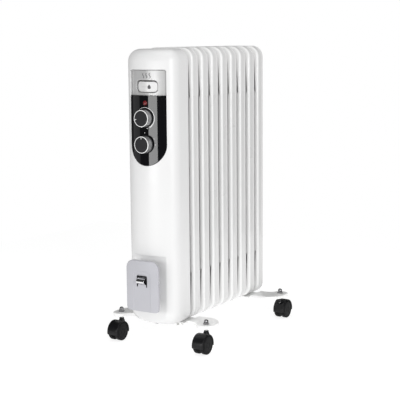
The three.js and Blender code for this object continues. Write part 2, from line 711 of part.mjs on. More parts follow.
// A strip of sheet bent along points of [y, z], run across the width.
function bentStrip(points, sheet, from, to) {
  const path = points.map(([y, z]) => new THREE.Vector2(y, z));
  const sides = path.map((point, i) => {
    const before = path[Math.max(i - 1, 0)];
    const after = path[Math.min(i + 1, path.length - 1)];
    const along = after.clone().sub(before).normalize();
    return new THREE.Vector2(-along.y, along.x).multiplyScalar(sheet / 2);
  });
  const left = path.map((point, i) => point.clone().add(sides[i]));
  const right = path.map((point, i) => point.clone().sub(sides[i]));
  return prismX(new THREE.Shape([...right, ...left.reverse()]), from, to);
}

// Spring clip: rises behind the plate and bulges out through the window.
function plugClip() {
  const { half, sheet, behind, root, low, high, bulge } = CLIP;
  const steps = 8;
  const bend = [[PLATE_FRONT + behind, FIN_FLOOR + root]];
  for (let step = 0; step <= steps; step += 1) {
    const along = step / steps;
    const out = (behind + bulge) * Math.sin(Math.PI * along);
    bend.push([PLATE_FRONT + behind - out, FIN_FLOOR + low + (high - low) * along]);
  }
  return bentStrip(bend, sheet, -half, half);
}
place(heater, "plug_clip", plugClip(), chrome());

// Hollow hub that the cord is wound on, with a floor half way along it.
function cordSpool() {
  const outline = (inset) =>
    plate(
      inset - SPOOL.half,
      SPOOL.half - inset,
      FIN_FLOOR + SPOOL.bottom + inset,
      FIN_FLOOR + SPOOL.top - inset,
      SPOOL.corner - inset,
    );
  const front = PLATE_FRONT + CLIP.behind + CLIP.sheet;
  const rear = RECESS_FACE - GAP;
  const floor = (front + rear) / 2;
  return cut(
    prismY(outline(0), front, rear),
    prismY(outline(SPOOL.wall), front - CUT, floor),
    prismY(outline(SPOOL.wall), floor + SPOOL.wall, rear + CUT),
  );
}
place(heater, "cord_spool", cordSpool(), greyMoulding());

// ---------------------------------------------------------------- parts inside the cover

function cordGland() {
  const { body, flange, bore, rise } = GLAND;
  const wall = COVER.wall;
  const profile = [
    [bore, -rise - GAP],
    [flange, -rise - GAP],
    [flange, -GAP],
    [body, -GAP],
    [body, wall + GAP],
    [flange, wall + GAP],
    [flange, wall + GAP + rise],
    [bore, wall + GAP + rise],
    [bore, -rise - GAP],
  ];
  return turnedZ(profile).translate([0, GLAND_Y, FIN_FLOOR]);
}
place(heater, "cord_gland", cordGland(), blackNylon());

const onBackPlate = BACK_PLATE_FRONT - GAP;
const cutoutFront = onBackPlate - CUTOUT.depth;
const cutout = rodY(CUTOUT.x, FIN_FLOOR + CUTOUT.z, CUTOUT.radius, cutoutFront, onBackPlate);
place(heater, "thermal_cutout", cutout, bareSteel());
const tiltSwitch = block(
  TILT.x - TILT.half,
  TILT.x + TILT.half,
  onBackPlate - TILT.depth,
  onBackPlate,
  FIN_FLOOR + TILT.z,
  FIN_FLOOR + TILT.z + TILT.height,
);
place(heater, "tilt_switch", tiltSwitch, beigePlastic());

// ---------------------------------------------------------------- feet

// A foot is drawn about the middle of its pair of castor stems, -Y outward, and stands at each end.
const BRACKET_TOP = FIN_FLOOR + BRACKET.raise;
const BRACKET_LOW = FIN_FLOOR - GAP;
const HOOK_X = HEADER.tube + HOOK.radius + HOOK.clear;
const HOOK_Y = CASTOR_BASE.y - (FIN.pitch * (FIN.count - 2)) / 2; // middle of the first gap

// Plan of the bracket: a straight strip whose ends swell into lobes around the stems.
function bracketPlan(inset) {
  const { x, y, radius, neck, shoulder } = LOBE;
  const outer = -BRACKET.outer + inset;
  const inner = -BRACKET.inner - inset;
  const round = radius - inset;
  const shape = new THREE.Shape();
  shape.moveTo(-neck, outer);
  shape.lineTo(neck, outer);
  shape.quadraticCurveTo(x - radius, outer, x - round * Math.cos(0.6), -y - round * Math.sin(0.6));
  shape.absarc(x, -y, round, Math.PI + 0.6, 2 * Math.PI, false);
  shape.lineTo(x + round, -y + shoulder);
  shape.quadraticCurveTo(x + round, inner - shoulder, x - shoulder / 2, inner);
  shape.lineTo(shoulder / 2 - x, inner);
  shape.quadraticCurveTo(-x - round, inner - shoulder, -x - round, -y + shoulder);
  shape.absarc(-x, -y, round, Math.PI, 2 * Math.PI - 0.6, false);
  shape.quadraticCurveTo(radius - x, outer, -neck, outer);
  return shape;
}

// Pressed sheet that lies under the fins, steps up past them and turns down around its ends.
function footBracket() {
  const { sheet, kneeIn, kneeOut } = BRACKET;
  const end = LOBE.x + LOBE.radius + CUT;
  const low = BRACKET_LOW - sheet;
  const high = BRACKET_TOP - sheet;
  const profile = [
    [-end, high],
    [-kneeOut, high],
    [-kneeIn, low],
    [kneeIn, low],
    [kneeOut, high],
    [end, high],
    [end, BRACKET_TOP],
    [kneeOut - 1, BRACKET_TOP],
    [kneeIn - 1, BRACKET_LOW],
    [1 - kneeIn, BRACKET_LOW],
    [1 - kneeOut, BRACKET_TOP],
    [-end, BRACKET_TOP],
  ];
  const wave = prismY(polygon(profile), -2 * LOBE.radius, -BRACKET.inner + CUT);
  const skirtLow = BRACKET_TOP - LOBE.flange;
  const skirt = cut(
    prismZ(bracketPlan(0), skirtLow, high + 0.5),
    prismZ(bracketPlan(LOBE.edge), skirtLow - CUT, BRACKET_TOP),
    block(-kneeOut - 2, kneeOut + 2, -end, end, 0, FIN_TOP),
  );
  const hole = (x, y, radius) => prismZ(disc(x, y, radius), low - CUT, BRACKET_TOP + CUT);
  return cut(
    join(wave.intersect(prismZ(bracketPlan(0), low - CUT, BRACKET_TOP + CUT)), skirt),
    hole(CASTOR_BASE.x, 0, STEM.body + GAP),
    hole(-CASTOR_BASE.x, 0, STEM.body + GAP),
    hole(HOOK_X, HOOK_Y, HOOK.radius + GAP),
  );
}

// Hook that passes over the header tube between the first two fins and down through the bracket.
function hookBolt() {
  const leg = (x, bottom) => prismZ(disc(x, HOOK_Y, HOOK.radius, ROD_SIDES), bottom, LOW_HEADER);
  return join(
    halfRing(HOOK_X, HOOK.radius, HOOK_Y, true, 8).translate([0, 0, LOW_HEADER]),
    leg(HOOK_X, BRACKET_LOW - HOOK.drop),
    leg(-HOOK_X, LOW_HEADER - HOOK.tail),
  );
}

function wingNut() {
  const { body, deep, thick, reach, tip, root, height } = WING;
  const top = BRACKET_LOW - BRACKET.sheet - GAP;
  const wings = [
    [-reach, top - height],
    [tip - reach, top - height],
    [-body, top - root],
    [body, top - root],
    [reach - tip, top - height],
    [reach, top - height],
    [body, top],
    [-body, top],
  ];
  const blades = polygon(wings.map(([u, z]) => [HOOK_X + u, z]));
  return cut(
    join(
      prismZ(disc(HOOK_X, HOOK_Y, body), top - deep, top),
      prismY(blades, HOOK_Y - thick / 2, HOOK_Y + thick / 2),
    ),
    prismZ(disc(HOOK_X, HOOK_Y, HOOK.radius + GAP), top - height - CUT, top + CUT),
  );
}

// Castor, drawn about its stem's axis with the floor at zero and the wheels trailing to -Y.
function castorHood() {
  const { outer, inner, half, web, skirt, clear } = HOOD;
  const { top } = HOOD_COLLAR;
  const from = radians(-skirt);
  const to = Math.PI - from;
  const arch = new THREE.Shape();
  arch.absarc(0, 0, outer, from, to, false);
  arch.absarc(0, 0, inner, to, from, true);
  const cheek = new THREE.Shape();
  cheek.absarc(0, 0, (inner + outer) / 2, from, to, false);
  const boss = cut(
    prismZ(disc(0, STEM.trail, HOOD_COLLAR.radius), 0, top),
    prismX(disc(0, 0, WHEEL.radius + clear, 16), -half, half),
  );
  const journal = disc(0, STEM.trail, STEM.journal + GAP);
  const neck = disc(0, STEM.trail, STEM.body + GAP);
  const body = cut(
    join(prismX(arch, -half, half, 5), boss, prismX(cheek, -web, web, 5)),
    prismX(disc(0, 0, WHEEL.axle + GAP), -half, half),
    prismZ(journal, STEM.journalEnd - GAP, STEM.journalTop + GAP),
    prismZ(neck, STEM.journalTop, top + CUT),
  );
  return body.translate([0, -STEM.trail, WHEEL.radius]);
}

function castorStem() {
  const { journal, journalTop, journalEnd, body } = STEM;
  const underside = BRACKET_TOP - BRACKET.sheet - GAP;
  const profile = [
    [0, WHEEL.radius + journalEnd],
    [journal, WHEEL.radius + journalEnd],
    [journal, WHEEL.radius + journalTop],
    [body, WHEEL.radius + journalTop],
    [body, underside - STEM_WASHER.thick],
    [STEM_WASHER.radius, underside - STEM_WASHER.thick],
    [STEM_WASHER.radius, underside],
    [body, underside],
    [body, BRACKET_TOP + NUT.hexTop],
    [0, BRACKET_TOP + NUT.hexTop],
  ];
  return turnedZ(profile);
}

function acornNut() {
  const { flange, flat, hex, hexTop, dome, top, bore } = NUT;
  const start = BRACKET_TOP + GAP;
  const profile = [
    [0, hexTop + GAP],
    [bore, hexTop + GAP],
    [bore, 0],
    [flange, 0],
    [flange, flat],
    [dome, flat],
    [dome, hexTop],
    ...domed(dome, hexTop, top),
  ];
  const faces = prismZ(disc(0, 0, hex, 6), start + flat / 2, start + hexTop - flat / 2);
  return join(
    turnedZ(profile).translate([0, 0, start]),
    cut(faces, prismZ(disc(0, 0, bore), start, start + top)),
  );
}

const castorAxle = () => {
  const reach = WHEEL.offset + WHEEL.blind - GAP;
  const rod = prismX(disc(0, 0, WHEEL.axle, ROD_SIDES), -reach, reach);
  return rod.translate([0, -STEM.trail, WHEEL.radius]);
};

// Wheel on one side of the castor: a domed outer face and a blind bore for the axle.
function castorWheel(side) {
  const { radius, half, offset, bore, blind } = WHEEL;
  const profile = [
    [0, blind],
    [bore, blind],
    [bore, -half],
    [radius - TYRE.edge, -half],
    [radius, TYRE.edge - half],
    [radius, half - TYRE.shoulder],
    [radius - TYRE.tuck, half - TYRE.drop],
    [radius / 2, half],
    [0, half],
  ];
  return turnedX(profile, side).translate([side * offset, -STEM.trail, WHEEL.radius]);
}

function castor(tag, x) {
  const group = new THREE.Group();
  group.position.x = x;
  place(group, `castor_${tag}_hood`, castorHood(), blackNylon());
  place(group, `castor_${tag}_stem`, castorStem(), bareSteel());
  place(group, `castor_${tag}_acorn_nut`, acornNut(), chrome());
  place(group, `castor_${tag}_axle`, castorAxle(), bareSteel());
  place(group, `castor_${tag}_wheel_a`, castorWheel(1), blackNylon());
  place(group, `castor_${tag}_wheel_b`, castorWheel(-1), blackNylon());
  return group;
}

const ends = [
  { name: "front", side: -1, turn: 0, tags: ["fr", "fl"] },
  { name: "rear", side: 1, turn: Math.PI, tags: ["rl", "rr"] },
];
for (const end of ends) {
  const foot = new THREE.Group();
  foot.position.y = end.side * CASTOR_BASE.y;
  foot.rotation.z = end.turn;
  place(foot, `foot_bracket_${end.name}`, footBracket(), paintedSteel());
  place(foot, `hook_bolt_${end.name}`, hookBolt(), bareSteel());
  place(foot, `wing_nut_${end.name}`, wingNut(), bareSteel());
  foot.add(castor(end.tags[0], CASTOR_BASE.x));
  foot.add(castor(end.tags[1], -CASTOR_BASE.x));
  heater.add(foot);
}

// Everything above is drawn about the middle of the fins.
heater.position.y = -(FRONTMOST + REARMOST) / 2;
const radiator = new THREE.Group();
radiator.add(heater);

export default radiator;
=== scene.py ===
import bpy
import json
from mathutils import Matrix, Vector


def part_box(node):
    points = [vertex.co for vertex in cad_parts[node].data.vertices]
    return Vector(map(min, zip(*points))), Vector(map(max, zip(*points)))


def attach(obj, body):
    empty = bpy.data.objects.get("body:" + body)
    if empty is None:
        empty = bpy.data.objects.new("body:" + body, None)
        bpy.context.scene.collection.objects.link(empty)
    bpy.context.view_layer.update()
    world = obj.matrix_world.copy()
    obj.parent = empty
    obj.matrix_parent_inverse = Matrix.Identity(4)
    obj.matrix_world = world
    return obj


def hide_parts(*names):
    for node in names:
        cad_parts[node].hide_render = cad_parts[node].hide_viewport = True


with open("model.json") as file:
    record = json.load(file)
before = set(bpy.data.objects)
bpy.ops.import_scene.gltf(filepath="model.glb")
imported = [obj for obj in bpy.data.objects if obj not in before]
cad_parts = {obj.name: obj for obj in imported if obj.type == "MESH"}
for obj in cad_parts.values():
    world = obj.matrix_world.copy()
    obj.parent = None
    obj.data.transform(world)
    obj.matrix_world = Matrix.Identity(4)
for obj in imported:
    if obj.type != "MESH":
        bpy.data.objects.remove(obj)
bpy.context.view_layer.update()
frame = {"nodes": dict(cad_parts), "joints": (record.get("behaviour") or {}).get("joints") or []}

import json
import math

import bmesh
import bpy
from mathutils import Matrix, Vector

MM = 0.001
ROOT = "radiator"

# ------------------------------------------------------------------ camera

CAMERA_PLACE = (1.298, -2.0514, 0.65615)
CAMERA_ANGLES = (32.163, 8.398, -0.503)  # azimuth, elevation and roll in degrees
LENS, SENSOR = 99.17, 36


def make_camera():
    azimuth, elevation, roll = (math.radians(a) for a in CAMERA_ANGLES)
    forward = Vector(
        (
            -math.sin(azimuth) * math.cos(elevation),
            math.cos(azimuth) * math.cos(elevation),
            -math.sin(elevation),
        )
    )
    level = Vector((math.cos(azimuth), math.sin(azimuth), 0))
    above = level.cross(forward)
    right = level * math.cos(roll) + above * math.sin(roll)
    up = above * math.cos(roll) - level * math.sin(roll)
    data = bpy.data.cameras.new("camera")
    data.lens = LENS
    data.sensor_width = SENSOR
    camera = bpy.data.objects.new("camera", data)
    turn = Matrix((right, up, -forward)).transposed().to_4x4()
    camera.matrix_world = Matrix.Translation(Vector(CAMERA_PLACE)) @ turn
    bpy.context.scene.collection.objects.link(camera)
    bpy.context.scene.camera = camera


make_camera()

# ------------------------------------------------------------------ materials

COAT_ROUGHNESS = 0.05


def principled(name, color, roughness, metallic=0.0, coat=0.0, specular=0.5):
    material = bpy.data.materials.new(name)
    material.use_nodes = True
    shader = material.node_tree.nodes["Principled BSDF"]
    shader.inputs["Base Color"].default_value = (*color, 1)
    shader.inputs["Roughness"].default_value = roughness
    shader.inputs["Metallic"].default_value = metallic
    shader.inputs["Coat Weight"].default_value = coat
    shader.inputs["Coat Roughness"].default_value = COAT_ROUGHNESS
    shader.inputs["Specular IOR Level"].default_value = specular
    return material


def node(material, kind, **values):
    made = material.node_tree.nodes.new(kind)
    for key, value in values.items():
        if key in made.inputs:
            made.inputs[key].default_value = value
        else:
            setattr(made, key, value)
    return made


def link(material, source, out, target, into):
    material.node_tree.links.new(source.outputs[out], target.inputs[into])


def object_noise(material, scale, detail=3.0, stretch=(1, 1, 1)):
    place = node(material, "ShaderNodeTexCoord")
    mapping = node(material, "ShaderNodeMapping")
    mapping.inputs["Scale"].default_value = stretch
    noise = node(material, "ShaderNodeTexNoise", Scale=scale, Detail=detail)
    link(material, place, "Object", mapping, "Vector")
    link(material, mapping, "Vector", noise, "Vector")
    return noise


def add_bump(material, noise, strength, distance=0.0003):
    shader = material.node_tree.nodes["Principled BSDF"]
    bump = node(material, "ShaderNodeBump", Strength=strength, Distance=distance)
    link(material, noise, "Fac", bump, "Height")
    link(material, bump, "Normal", shader, "Normal")


def vary(material, noise, socket, low, high):
    shader = material.node_tree.nodes["Principled BSDF"]
    spread = node(material, "ShaderNodeMapRange")
    spread.inputs["From Min"].default_value = 0.3
    spread.inputs["From Max"].default_value = 0.7
    spread.inputs["To Min"].default_value = low
    spread.inputs["To Max"].default_value = high
    link(material, noise, "Fac", spread, "Value")
    link(material, spread, "Result", shader, socket)


def tint(material, noise, first, second):
    shader = material.node_tree.nodes["Principled BSDF"]
    ramp = node(material, "ShaderNodeValToRGB")
    ramp.color_ramp.elements[0].position = 0.35
    ramp.color_ramp.elements[0].color = (*first, 1)
    ramp.color_ramp.elements[1].position = 0.65
    ramp.color_ramp.elements[1].color = (*second, 1)
    link(material, noise, "Fac", ramp, "Fac")
    link(material, ramp, "Color", shader, "Base Color")


def finish_of(name, color, roughness, **more):
    """A shader with slow colour drift, uneven roughness and a fine surface grain."""
    grain = more.pop("grain", 900)
    depth = more.pop("depth", 0.05)
    drift = more.pop("drift", 0.02)
    slow = more.pop("slow", 14)
    stretch = more.pop("stretch", (1, 1, 1))
    uneven = more.pop("uneven", 0.12)
    material = principled(name, color, roughness, **more)
    clouds = object_noise(material, slow, 2.0)
    darker = [c * (1 - drift) for c in color]
    lighter = [min(1, c * (1 + drift)) for c in color]
    tint(material, clouds, darker, lighter)
    vary(material, clouds, "Roughness", roughness * (1 - uneven), roughness * (1 + uneven))
    add_bump(material, object_noise(material, grain, 3.0, stretch), depth)
    return material


# Painted shade: the fins' finish is a darker copy of the white paint on the brackets, standing for the shade
# on the fins' side bands.
enamel = finish_of("enamel", (0.72, 0.72, 0.717), 0.30, coat=0.5, grain=420, depth=0.10, drift=0.008)
bracket_white = finish_of(
    "bracket_enamel", (0.92, 0.92, 0.915), 0.3, coat=0.3, grain=420, depth=0.08, drift=0.008
)
# Painted highlight: a lighter copy of the fin paint, put on each fin's front edge to stand for the light it
# catches.
enamel_painted_highlight = finish_of(
    "enamel_crest_painted_highlight", (0.90, 0.90, 0.895), 0.30, coat=0.5, grain=420, depth=0.08, drift=0.008
)
moulding = finish_of(
    "cover_plastic", (0.77, 0.77, 0.77), 0.34, coat=0.1, grain=700, depth=0.03, drift=0.004, uneven=0.03
)
silver = finish_of("bezel_silver", (0.56, 0.56, 0.56), 0.32, metallic=0.34, grain=1500, depth=0.05)
rocker_white = finish_of("rocker_plastic", (0.70, 0.70, 0.70), 0.3, grain=900, depth=0.03, drift=0.01)
gloss = finish_of("fascia_black", (0.004, 0.004, 0.005), 0.05, specular=0.52, grain=300, depth=0.01)
knob_silver = finish_of(
    "knob_metallised", (0.70, 0.70, 0.71), 0.26, metallic=0.7, grain=500, depth=0.08, stretch=(1, 0.05, 1)
)
# Painted highlight: a white band on each knob's front rim stands for the light its edge catches.
knob_rim_painted_highlight = finish_of("knob_rim_painted_highlight", (0.90, 0.90, 0.90), 0.25, grain=1500, depth=0.03, drift=0.005)
knob_grey = finish_of(
    "knob_cap", (0.019, 0.019, 0.021), 0.46, specular=0.22, grain=2600, depth=0.35, drift=0.1
)
storage = finish_of("storage_grey", (0.475, 0.475, 0.508), 0.34, metallic=0.15, grain=2200, depth=0.12)
chrome = finish_of("chrome", (0.9, 0.9, 0.91), 0.07, metallic=1.0, grain=120, depth=0.02, drift=0.01)
nickel = finish_of("nickel", (0.36, 0.36, 0.37), 0.12, metallic=1.0, grain=200, depth=0.03, drift=0.02)
steel = finish_of(
    "zinc_steel", (0.60, 0.60, 0.585), 0.32, metallic=1.0, grain=260, depth=0.25, drift=0.07, slow=60
)
nylon = finish_of(
    "castor_nylon", (0.006, 0.006, 0.0068), 0.3, specular=0.28, grain=1800, depth=0.2, drift=0.12
)
tyre = finish_of(
    "castor_wheel", (0.005, 0.005, 0.0056), 0.42, specular=0.1, grain=1500, depth=0.25, drift=0.12
)
beige = finish_of("inner_plastic", (0.70, 0.67, 0.58), 0.55, grain=1200, depth=0.15)
lens_red = finish_of("lens_red", (0.15, 0.004, 0.006), 0.08, coat=0.8, grain=200, depth=0.02)
amber = finish_of("lamp_glass", (0.75, 0.35, 0.12), 0.08, grain=200, depth=0.02)
print_white = finish_of("print_white", (0.80, 0.80, 0.80), 0.5, grain=3000, depth=0.05)
print_grey = finish_of("print_grey", (0.07, 0.07, 0.075), 0.45, grain=3000, depth=0.05)
# Black plastic of the switch body; also used as painted shade in the cord hub's hollow and along the rocker's
# top edge.
dark = finish_of("black_plastic_and_painted_shade", (0.02, 0.02, 0.022), 0.5, grain=1500, depth=0.15)

# ------------------------------------------------------------------ mesh building


def emit(name, bm, material, body, nodes=(), angle=32):
    """The bmesh, in millimetres, as a shaded piece that rides on a body."""
    bmesh.ops.recalc_face_normals(bm, faces=bm.faces)
    mesh = bpy.data.meshes.new(name)
    bmesh.ops.scale(bm, vec=(MM, MM, MM), verts=bm.verts)
    bm.to_mesh(mesh)
    bm.free()
    mesh.shade_smooth()
    mesh.set_sharp_from_angle(angle=math.radians(angle))
    mesh.materials.append(material)
    piece = bpy.data.objects.new(name, mesh)
    bpy.context.scene.collection.objects.link(piece)
    if body:
        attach(piece, body)
    if nodes:
        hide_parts(*nodes)
    return piece


def paint(piece, material, chosen):
    """A second material on the faces whose centres, in millimetres, are chosen."""
    piece.data.materials.append(material)
    for face in piece.data.polygons:
        if chosen([v / MM for v in face.center]):
            face.material_index = len(piece.data.materials) - 1


def add_loops(bm, loops, start=True, end=True, around=True):
    """Quads between rings of points; each end is closed with one face if asked."""
    rows = [[bm.verts.new(p) for p in loop] for loop in loops]
    count = len(rows[0])
    for low, high in zip(rows, rows[1:]):
        for i in range(count if around else count - 1):
            j = (i + 1) % count
            bm.faces.new((low[i], low[j], high[j], high[i]))
    if start:
        bm.faces.new(list(reversed(rows[0])))
    if end:
        bm.faces.new(rows[-1])
    return rows


def from_loops(name, loops, material, body, nodes=(), **more):
    bm = bmesh.new()
    add_loops(bm, loops, more.pop("start", True), more.pop("end", True))
    return emit(name, bm, material, body, nodes, **more)


LEAST_RADIUS = 0.05


def rounded(half, low, high, corner, y, lower=None, steps=8, span=6, middle=0.0):
    """Rounded rectangle in XZ at depth y, as a loop of points with its straights divided."""
    lower = corner if lower is None else lower
    corner, lower = max(corner, LEAST_RADIUS), max(lower, LEAST_RADIUS)
    arcs = [
        (half - lower, low + lower, lower, -90),
        (half - corner, high - corner, corner, 0),
        (corner - half, high - corner, corner, 90),
        (lower - half, low + lower, lower, 180),
    ]
    points = []
    for x, z, radius, begin in arcs:
        for step in range(steps + 1):
            turn = math.radians(begin + 90 * step / steps)
            points.append((middle + x + radius * math.cos(turn), y, z + radius * math.sin(turn)))
    loop = []
    for index, point in enumerate(points):
        loop.append(point)
        after = points[(index + 1) % len(points)]
        if (index + 1) % (steps + 1) == 0:
            for part in range(1, span):
                t = part / span
                loop.append(tuple(a + (b - a) * t for a, b in zip(point, after)))
    return loop


def ring(x, y, z, radius, axis="y", steps=48, begin=0.0):
    points = []
    for step in range(steps):
        turn = begin + 2 * math.pi * step / steps
        u, v = radius * math.cos(turn), radius * math.sin(turn)
        if axis == "y":
            points.append((x + u, y, z + v))
        elif axis == "x":
            points.append((x, y + u, z + v))
        else:
            points.append((x + u, y + v, z))
    return points


def turned(bm, profile, centre, axis, direction=1, steps=48):
    """Lathed solid: profile of (radius, distance along the axis)."""
    x, y, z = centre
    loops = []
    for radius, along in profile:
        radius = max(radius, 0.01)
        far = along * direction
        if axis == "y":
            loops.append(ring(x, y + far, z, radius, axis, steps))
        elif axis == "x":
            loops.append(ring(x + far, y, z, radius, axis, steps))
        else:
            loops.append(ring(x, y, z + far, radius, axis, steps))
    add_loops(bm, loops)


def quarter(u0, v0, u1, v1, steps=5, first_along_u=True):
    """Points of a quarter ellipse from (u0, v0) to (u1, v1)."""
    points = []
    for step in range(steps + 1):
        turn = math.pi / 2 * step / steps
        s, c = math.sin(turn), 1 - math.cos(turn)
        a, b = (s, c) if first_along_u else (c, s)
        points.append((u0 + (u1 - u0) * a, v0 + (v1 - v0) * b))
    return points


def apply_modifiers(piece):
    depsgraph = bpy.context.evaluated_depsgraph_get()
    mesh = bpy.data.meshes.new_from_object(piece.evaluated_get(depsgraph))
    piece.modifiers.clear()
    piece.data = mesh


def cut_with(piece, cutter, angle=32):
    """Takes the cutter's solid away from the piece and removes the cutter."""
    bpy.context.view_layer.update()
    change = piece.modifiers.new("cut", "BOOLEAN")
    change.operation = "DIFFERENCE"
    change.solver = "EXACT"
    change.object = cutter
    apply_modifiers(piece)
    bpy.data.objects.remove(cutter)
    piece.data.shade_smooth()
    piece.data.set_sharp_from_angle(angle=math.radians(angle))


def cutter_from(loops):
    return from_loops("cutter", loops, steel, None)


# ------------------------------------------------------------------ places from the CAD model


def low_of(name):
    return [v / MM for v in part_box(name)[0]]


def high_of(name):
    return [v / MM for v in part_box(name)[1]]


FIN_FLOOR = low_of("fin_5")[2]
FIN_TOP = high_of("fin_5")[2]
COVER_LOW, COVER_HIGH = low_of("front_cover"), high_of("front_cover")
COVER_FRONT, COVER_REAR = COVER_LOW[1], COVER_HIGH[1]
WALL, CORNER, ROUND, CROWN = 2.0, 28.0, 26.0, 90.0
COVER_HALF = COVER_HIGH[0]
BASE = COVER_LOW[2]  # heights on the cover are above this
CROWN_CENTRE = COVER_FRONT + CROWN


def crown(x, set_back=0.0):
    """Depth of the cover's convex front at x, set back into the cover."""
    return CROWN_CENTRE - math.sqrt((CROWN - set_back) ** 2 - x * x)


# ------------------------------------------------------------------ fins

FIN_HALF, FIN_CORNER, LAST_FIN = 59.5, 26, 9
FACE = 12.7  # from a fin's middle to its front and its rear
LIP, SHEET, HEADER_BAND = 6.3, 1.5, 101.0
FIN_GAP = 14.6
TUBE, FLARE = 18.5, 4.0  # header tube between two fins, and its widening at both ends
SWELL, SWELL_INSET, SWELL_CORNER = 9.0, 4.5, 21
HIGHLIGHT_DEPTH = 5.4  # depth of the painted highlight behind a fin's front face: a lighter copy of the fin paint standing for the light on its rounded front edge
COLUMNS = (-33.5, 0, 33.5)
COLUMN_HALF, COLUMN_FLAT, COLUMN_HEIGHT = 10.8, 5.0, 5.6
POCKET_LOW, POCKET_HIGH = FIN_FLOOR + HEADER_BAND, FIN_TOP - HEADER_BAND
HEADER_AXES = (FIN_FLOOR + 50, FIN_TOP - 50)
SWELL_REACH = ((43, 63), (47, 43))  # below and above the lower and the upper header axis
HOOKED = (1, 8)  # the hook bolts pass behind these fins at the lower header
# Groove and side behind the rounded front edge: in from the outline, and back from the face
GROOVE = (
    (0.1, 5.4), (0.6, 6.2), (2.0, 6.9), (3.0, 7.4), (3.1, 8.0), (2.5, 8.9), (1.9, 10), (1.7, 15),
    (1.6, 19.6), (1.4, 20.6), (0.8, 21.3), (0.25, 22.0), (0.05, 22.8),
)


def column_height(x):
    """How far the pressed columns stand out of the web at x."""
    height = 0.0
    for middle in COLUMNS:
        away = abs(x - middle)
        if away < COLUMN_HALF:
            slope = min(1, max(0, (away - COLUMN_FLAT) / (COLUMN_HALF - COLUMN_FLAT)))
            height = COLUMN_HEIGHT * (0.5 + 0.5 * math.cos(math.pi * slope))
    return height


def add_web(bm, wide, y, side, across=72, along=26):
    """Pressed sheet across the pocket, with the columns standing out of it."""
    rows = []
    for j in range(along + 1):
        t = j / along
        z = POCKET_LOW + (POCKET_HIGH - POCKET_LOW) * (0.5 - 0.5 * math.cos(math.pi * t))
        row = []
        for i in range(across + 1):
            x = -wide + 2 * wide * i / across
            row.append(bm.verts.new((x, y + side * (SHEET / 2 + column_height(x)), z)))
        rows.append(row)
    for low, high in zip(rows, rows[1:]):
        for i in range(across):
            bm.faces.new((low[i], low[i + 1], high[i + 1], high[i]))


def add_tube(bm, face, z, past):
    """Header tube to the next fin, flared at both ends."""
    wide = TUBE + FLARE
    profile = [(wide + 0.5, -0.5)] + quarter(wide, 0, TUBE, FLARE)
    profile += [(TUBE, FIN_GAP - FLARE)] + quarter(TUBE, FIN_GAP - FLARE, wide, FIN_GAP, 5, False)[1:]
    profile.append((wide + 0.5, FIN_GAP + past))
    turned(bm, profile, (0, face, z), "y")


def add_swell(bm, face, z, half):
    """Swelling of the oil chamber at a header, on a fin's rear face."""
    steps = [(0, -0.2), (0, 0.5)] + quarter(0, 0.5, 7, SWELL, 6, False)[1:]
    steps += [(12, SWELL + 0.3), (20, SWELL + 0.4)]
    below, above = SWELL_REACH[HEADER_AXES.index(z)]
    loops = []
    for inset, back in steps:
        wide, corner = half - SWELL_INSET - inset, max(SWELL_CORNER - inset, 2)
        loops.append(rounded(wide, z - below + inset, z + above - inset, corner, face + back))
    add_loops(bm, loops)


def fin_piece(number):
    name = f"fin_{number}"
    low, high = low_of(name), high_of(name)
    half = high[0]
    corner = FIN_CORNER - (FIN_HALF - half)
    middle = low[1] + FACE
    mouth, wide = half - LIP, half - SHEET

    def outline(inset, y):
        return rounded(half - inset, low[2] + inset, high[2] - inset, corner - inset, middle + y)

    def window(grow, y):
        return rounded(mouth + grow, POCKET_LOW - grow, POCKET_HIGH + grow, LIP + grow, middle + y)

    def chamber(y):
        return rounded(wide, POCKET_LOW - 1, POCKET_HIGH + 1, 3, middle + y)

    loops = [chamber(-SHEET / 2), chamber(SHEET - FACE), window(0, SHEET - FACE)]
    loops += [window(0, 0.7 - FACE), window(0.2, 0.2 - FACE), window(0.7, -FACE)]
    loops += [outline(8.5, -FACE), outline(6.6, 0.05 - FACE)]
    loops += [outline(i, y) for i, y in quarter(5.4, 0.15 - FACE, 0, 4.6 - FACE, 8)]
    loops += [outline(i, y - FACE) for i, y in GROOVE]
    loops += [outline(i, y) for i, y in quarter(0.05, FACE - 1.8, 1.8, FACE, 4, False)]
    loops += [outline(8.5, FACE), window(0.7, FACE), window(0.2, FACE - 0.2)]
    loops += [window(0, FACE - 0.7), window(0, FACE - SHEET)]
    loops += [chamber(FACE - SHEET), chamber(SHEET / 2)]
    bm = bmesh.new()
    add_loops(bm, loops, False, False)
    add_web(bm, wide, middle, -1)
    add_web(bm, wide, middle, 1)
    if number < LAST_FIN:
        for z in HEADER_AXES:
            add_tube(bm, middle + FACE, z, 0.2 if number < LAST_FIN - 1 else 0)
            if z == HEADER_AXES[1] or number not in HOOKED:
                add_swell(bm, middle + FACE, z, half)
    # The fin sheets take the darker copy of their paint, painted shade for their sides.
    fin = emit(f"{name}_sheet", bm, enamel, ROOT, (name,), angle=40)
    # Painted highlight along the front of each fin.
    paint(fin, enamel_painted_highlight, lambda centre: centre[1] < low[1] + HIGHLIGHT_DEPTH)


for number in range(1, LAST_FIN + 1):
    fin_piece(number)

# ------------------------------------------------------------------ front cover


